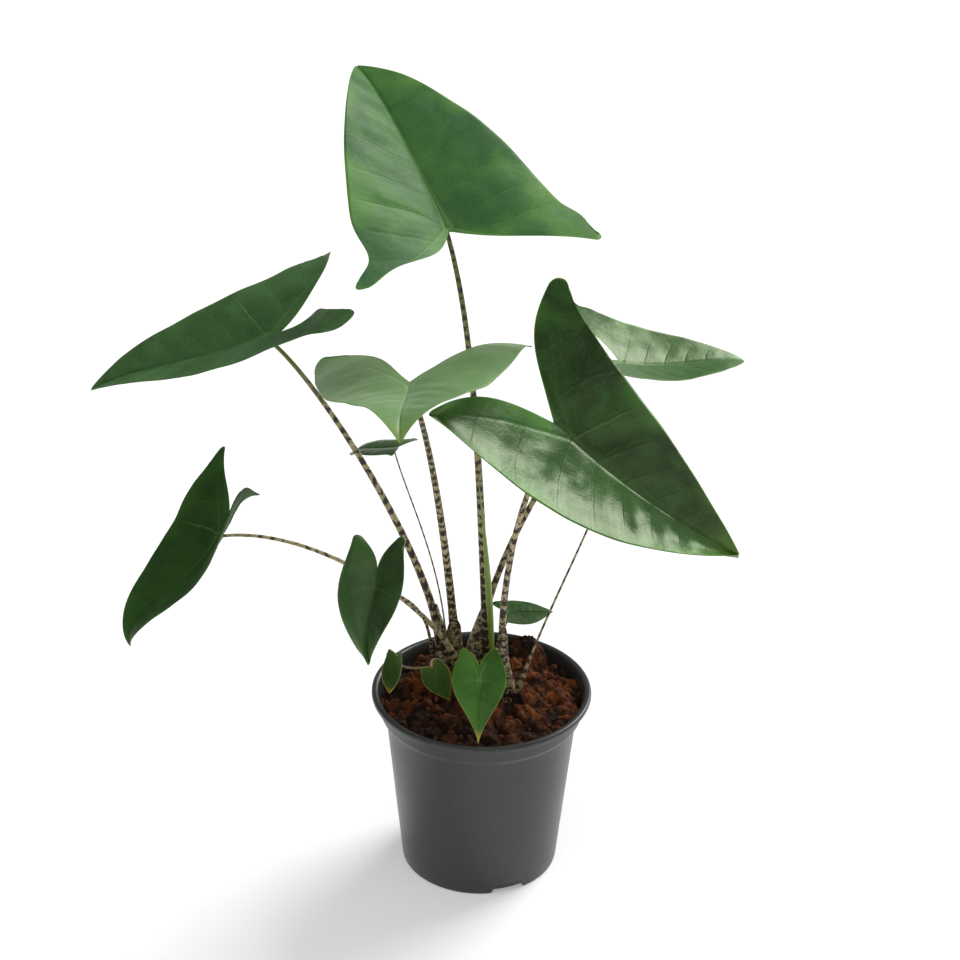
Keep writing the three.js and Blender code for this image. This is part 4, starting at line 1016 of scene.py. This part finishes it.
back = dict(
    join=(105, 90, 390), heading=68, rise=-18, roll=11, length=103, half_width=49, lobe=64, sinus=5,
    shoulder=0.84, inner_shoulder=0.71, dish=38, tip_droop=43, fold=7, margin_droop=-25, twist=5, quilt=0.007,
    left_half=dict(lobe_end=12, outer_bulge=0.078, inner_bulge=-0.12, inner_wave=-0.02, neck=0.027,
                   lobe_lift=-27, lobe_curl=-18, lobe_roll=8),
    right_half=dict(lobe_end=8, outer_bulge=0.138, inner_bulge=0.106, inner_wave=0.011, neck=-0.008,
                    lobe_lift=-13, lobe_curl=1, lobe_roll=-2),
    foot=(-3.5, 46.5), pulls=((3, 57, 245), (70, 77, 335)), radii=(4.8, 3, 1.5),
)
grow("back", back, leaf_skin(
    "waxy_leaf_back", face="#426c34", shade="#315a28", vein="#8aab68", margin="#6f9a42", side_vein_and_groove_shade="#264a20",
    gloss=0.38, shine=0.78, vein_show=0.4, basal_show=0.1, rib_show=0.4, streaks=0.2), "leaf_mid",
    banded_skin("banded_stem_back", "#b8ac84", "#2c2118", green=0.3))
sheath("back", back, facing=195, height=58, flare=6, wrap=100)

# ------------------------------------------------------------------------------------------ low leaf
# An old, very dark leaf that hangs at the far left on a thin, arched stem. One of its lobes sticks out
# behind like a small paddle.

low = dict(
    join=(-199, 0, 284), heading=-123, rise=-55, roll=11, length=112, half_width=57, lobe=44, sinus=17,
    shoulder=1.06, inner_shoulder=0.72, dish=66, tip_droop=117, fold=18, margin_droop=-12, twist=20,
    left_half=dict(lobe_end=17, outer_bulge=0.117, inner_bulge=-0.05, inner_wave=0.006, neck=0.05,
                   lobe_lift=30, lobe_curl=-14, lobe_roll=24),
    right_half=dict(lobe_end=8, outer_bulge=0.057, inner_bulge=0.035, inner_wave=0.015, neck=0.01,
                    lobe_lift=31, lobe_roll=-16),
    foot=(-20.5, 33.8), pulls=((-22, -9, 216), (-122, 23, 282)), radii=(4, 2.2, 1.2),
)
grow("low", low, leaf_skin(
    "waxy_leaf_old", face="#2c5020", shade="#1f3d18", vein="#56783e", margin="#3f642c", under="#3d5733",
    gloss=0.5, shine=0.16, vein_show=0.12, rib_show=0.4), "leaf_dark",
    banded_skin("banded_stem_low", "#c2b78e", "#33281c", cover=0.4, green=0.3))

# ------------------------------------------------------------------------------------------ small leaves
# Seven small leaves fill the foot of the plant. Two old ones with dried tips lie on the soil at the left, a
# bright green one with a yellow tip hangs over the front rim, and four dark ones stand among the stems.

SMALL_ROWS = 80
SMALL_COLUMNS = 28
# The dark and the fresh skins paint the right half of each leaf lighter, as painted light.
dark_leaf = leaf_skin(
    "waxy_leaf_dark", face="#3d5e35", shade="#1c3614", vein="#5f7f48", margin="#4a6c2e",
    gloss=0.34, shine=0.6, vein_show=0.06, basal_show=0.1, rib_show=0.2, mottle=0.15, lit_right_half=0.6,
    relief_depth=0.15)
fresh_leaf = leaf_skin(
    "waxy_leaf_fresh", face="#467a2c", shade="#1f4d0e", vein="#9db872", margin="#8fa046",
    gloss=0.33, shine=0.5, vein_show=0.05, basal_show=0.05, rib_show=0.3, flush=0.1, mottle=0.2,
    lit_right_half=0.6, yellow=1.0, tip="#d3b04a", relief_depth=0.2)
aged_leaf = leaf_skin(
    "waxy_leaf_aged", face="#32551f", shade="#234016", vein="#7f9250", margin="#a89a48",
    gloss=0.42, shine=0.25, vein_show=0.05, basal_show=0.05, rib_show=0.15, flush=0.12, yellow=1.0,
    tip="#c58a34", relief_depth=0.2)
thin_stem = banded_skin("banded_thin_stem", "#ab9a78", "#33261c", band=4, cover=0.45)
cream_stem = banded_skin("cream_thin_stem", "#b9a488", "#6a5238", band=4, cover=0.12)
small_leaves = {
    "young": (dark_leaf, "leaf_dark", thin_stem, dict(
        join=(-80, -50, 269), heading=190, rise=-48, roll=23, length=57, half_width=23, lobe=37, lobe_end=9,
        sinus=15, outer_bulge=0.166, inner_bulge=0.11, shoulder=1.2, dish=6, tip_droop=58, fold=15,
        margin_droop=5, twist=-3, wave=1.2, left_half=dict(lobe_lift=-1),
        right_half=dict(lobe_lift=23, crown=2.5),
        foot=(-38, 42), pulls=((-42, 24, 184), (-38, -18, 242)), radii=(2, 1.3, 1))),
    "edge": (dark_leaf, "leaf_dark", thin_stem, dict(
        join=(-71, 90, 314), heading=-61, rise=-17, roll=4, length=43, half_width=20, lobe=10.5, lobe_end=3.5,
        sinus=3.7, outer_bulge=0.156, inner_bulge=0.1, shoulder=0.85, dish=3, tip_droop=42, fold=18,
        margin_droop=35, twist=1, left_half=dict(lobe_lift=9), right_half=dict(lobe_lift=14),
        foot=(-28, 52), pulls=((-30, 61, 224), (-59, 74, 275)), radii=(1.3, 0.7, 0.6))),
    "shade": ("waxy_leaf_old", "leaf_dark", thin_stem, dict(
        join=(22, 75, 176), heading=73, rise=-11, roll=4, length=36.5, half_width=15.5, lobe=11, lobe_end=2,
        sinus=4, outer_bulge=0.164, inner_bulge=0.07, shoulder=1.1, dish=6, tip_droop=3, fold=7,
        margin_droop=15, twist=-3, quilt=0.003, left_half=dict(lobe_lift=34), right_half=dict(lobe_lift=-4),
        foot=(12, 45.5), pulls=((13, 50, 165), (18, 68, 166)), radii=(1.3, 1, 0.8))),
    "hidden": (dark_leaf, "leaf_dark", thin_stem, dict(
        join=(95, 30, 330), heading=60, rise=-25, roll=0, length=44, half_width=22, lobe=22, lobe_end=3.5,
        sinus=5, outer_bulge=0.1, inner_bulge=0.1, shoulder=1, dish=10, tip_droop=30, fold=15,
        margin_droop=10, twist=0, left_half=dict(lobe_lift=5), right_half=dict(lobe_lift=5),
        foot=(27, -6), pulls=((50, 2, 228), (80, 16, 279)), radii=(2.8, 1, 0.7))),
    "heart": (fresh_leaf, "leaf_mid", thin_stem, dict(
        join=(-2, -45, 187), heading=180, rise=-42, roll=1, length=48, half_width=13.3, lobe=26, lobe_end=3.5,
        sinus=11, outer_bulge=0.16, inner_bulge=0.095, shoulder=1.65, dish=0, tip_droop=8, fold=6,
        margin_droop=16, twist=0, left_half=dict(lobe_lift=10), right_half=dict(lobe_lift=10),
        foot=(13, -9), pulls=((12, -14, 172), (4, -32, 184)), radii=(1.9, 1.3, 1))),
    "bud": (aged_leaf, "leaf_dark", cream_stem, dict(
        join=(-35, -20, 175), heading=139, rise=-40, roll=32, length=24, half_width=8, lobe=11, lobe_end=1.2,
        sinus=6.5, outer_bulge=0.175, inner_bulge=0.1, shoulder=1.5, dish=-40, tip_droop=10, fold=5,
        margin_droop=14, twist=0, left_half=dict(lobe_lift=12), right_half=dict(lobe_lift=12),
        foot=(-26, 28.5), pulls=((-33, 17, 173), (-45, -4, 182)), radii=(1.2, 0.9, 0.8))),
    "rim": (aged_leaf, "leaf_dark", cream_stem, dict(
        join=(-65, -10, 179), heading=179, rise=-59, roll=49, length=24, half_width=8, lobe=10, lobe_end=1.2,
        sinus=5.5, outer_bulge=0.27, inner_bulge=0.14, shoulder=0.9, dish=31, tip_droop=-18, fold=16,
        margin_droop=-10, twist=-7, left_half=dict(lobe_lift=12), right_half=dict(lobe_lift=20),
        foot=(-36, 30.5), pulls=((-40, 18, 163), (-52, 2, 162)), radii=(1.4, 0.9, 0.8))),
}
for name, (skin, slot, stalk_skin, leaf) in small_leaves.items():
    grow(name, leaf, skin, slot, stalk_skin, rows=SMALL_ROWS, columns=SMALL_COLUMNS)

# ------------------------------------------------------------------------------------------ new leaf
# The next leaf is still rolled up tight: a smooth yellow-green spear that stands among the stems, with a
# belly where the blade is widest.

NEW_LEAF_FOOT_RADIUS = 1.9
NEW_LEAF_BELLY = 2.6
NEW_LEAF_TIP_RADIUS = 0.5
BELLY_SHARE = 0.4


def spear_radius(share):
    if share < BELLY_SHARE:
        swell = smoothstep(0, BELLY_SHARE, share)
        return NEW_LEAF_FOOT_RADIUS + (NEW_LEAF_BELLY - NEW_LEAF_FOOT_RADIUS) * swell
    return NEW_LEAF_BELLY + (NEW_LEAF_TIP_RADIUS - NEW_LEAF_BELLY) * smoothstep(BELLY_SHARE, 1, share)


# Fresh leaf tissue: smooth, slightly glossy, with fine lines along it.
tree = new_tree("fresh_rolled_leaf")
skin = add(tree, "Attribute", attribute_name="skin")["Vector"]
lines = add(tree, "Mapping", {"Vector": skin, "Scale": (1.6, 1.6, 0.03)})[0]
streak = add(tree, "TexNoise", {"Vector": lines, "Scale": 1.0, "Detail": 2})[0]
green = add(tree, "Mix", {0: streak, 6: "#587a2c", 7: "#9ab04e"}, data_type="RGBA")[2]
bump = add(tree, "Bump", {"Height": streak, "Strength": 0.3, "Distance": 0.0003})[0]
shader = add(tree, "BsdfPrincipled", {"Base Color": green, "Roughness": 0.42, "Normal": bump})[0]
add(tree, "OutputMaterial", {"Surface": shader})
spear_line = curve_through((8.5, 32.5, CROWN_TOP + FOOT_GAP), (7, 30, 185), (3, 25, 260), (-4, 29, 312))
dress(rod("rolled_new_leaf", spear_line, spear_radius), "fresh_rolled_leaf", "new_leaf")

# ------------------------------------------------------------------------------------------ studio
# The plant stands on a seamless white table in a white room. Its key light is one large soft light behind it
# and to its right, so far away that its rays are even, and a broad, weaker one fills from the front left.

CAMERA_AT = (-3.5, -1666, 1218)
CAMERA_DOWN = 27.95
CAMERA_ROLL = 0.83
FOCAL_LENGTH = 95.5
SENSOR_WIDTH = 36
camera = bpy.data.objects.new("camera", bpy.data.cameras.new("camera"))
bpy.context.scene.collection.objects.link(camera)
camera.data.lens = FOCAL_LENGTH
camera.data.sensor_width = SENSOR_WIDTH
camera.data.clip_start = 0.05
camera.data.clip_end = 50
tilt = Matrix.Rotation(math.radians(90 - CAMERA_DOWN), 4, "X")
spin = Matrix.Rotation(math.radians(CAMERA_ROLL), 4, "Z")
camera.matrix_world = Matrix.Translation(Vector(CAMERA_AT) * METRES) @ tilt @ spin
bpy.context.scene.camera = camera

# The table is matt white card. It glows a little, so it stays white where the lights are weak.
TABLE_RADIUS = 30000
TABLE_SIDES = 96
TABLE_GLOW = 0.28
ROOM_LIGHT = 0.25
tree = new_tree("white_table")
shader = add(tree, "BsdfPrincipled", {
    "Base Color": (0.85, 0.85, 0.85, 1), "Roughness": 0.9, "Emission Color": (1, 1, 1, 1),
    "Emission Strength": TABLE_GLOW})[0]
add(tree, "OutputMaterial", {"Surface": shader})
turns = np.linspace(0, 2 * math.pi, TABLE_SIDES + 1)[:-1]
round_table = [(TABLE_RADIUS * math.cos(a), TABLE_RADIUS * math.sin(a), 0) for a in turns]
table = make_object("table", round_table, [tuple(range(TABLE_SIDES))])
table.data.materials.append(bpy.data.materials["white_table"])

# Each light is given by the way it comes from, in degrees from the front round by the right, its height above
# level, how wide it looks, and its strength.
for name, comes_from, height, width, strength in (
        ("key_softbox", 137, 38, 36, 2.7), ("fill_softbox", -20, 65, 80, 0.85)):
    softbox = bpy.data.objects.new(name, bpy.data.lights.new(name, "SUN"))
    softbox.data.energy = strength
    softbox.data.angle = math.radians(width)
    softbox.rotation_euler = (math.radians(90 - height), 0, math.radians(comes_from))
    bpy.context.scene.collection.objects.link(softbox)
world = bpy.data.worlds.new("white_room")
world.use_nodes = True
world.node_tree.nodes["Background"].inputs["Color"].default_value = (1, 1, 1, 1)
world.node_tree.nodes["Background"].inputs["Strength"].default_value = ROOM_LIGHT
bpy.context.scene.world = world
bpy.context.scene.view_settings.view_transform = "Standard"
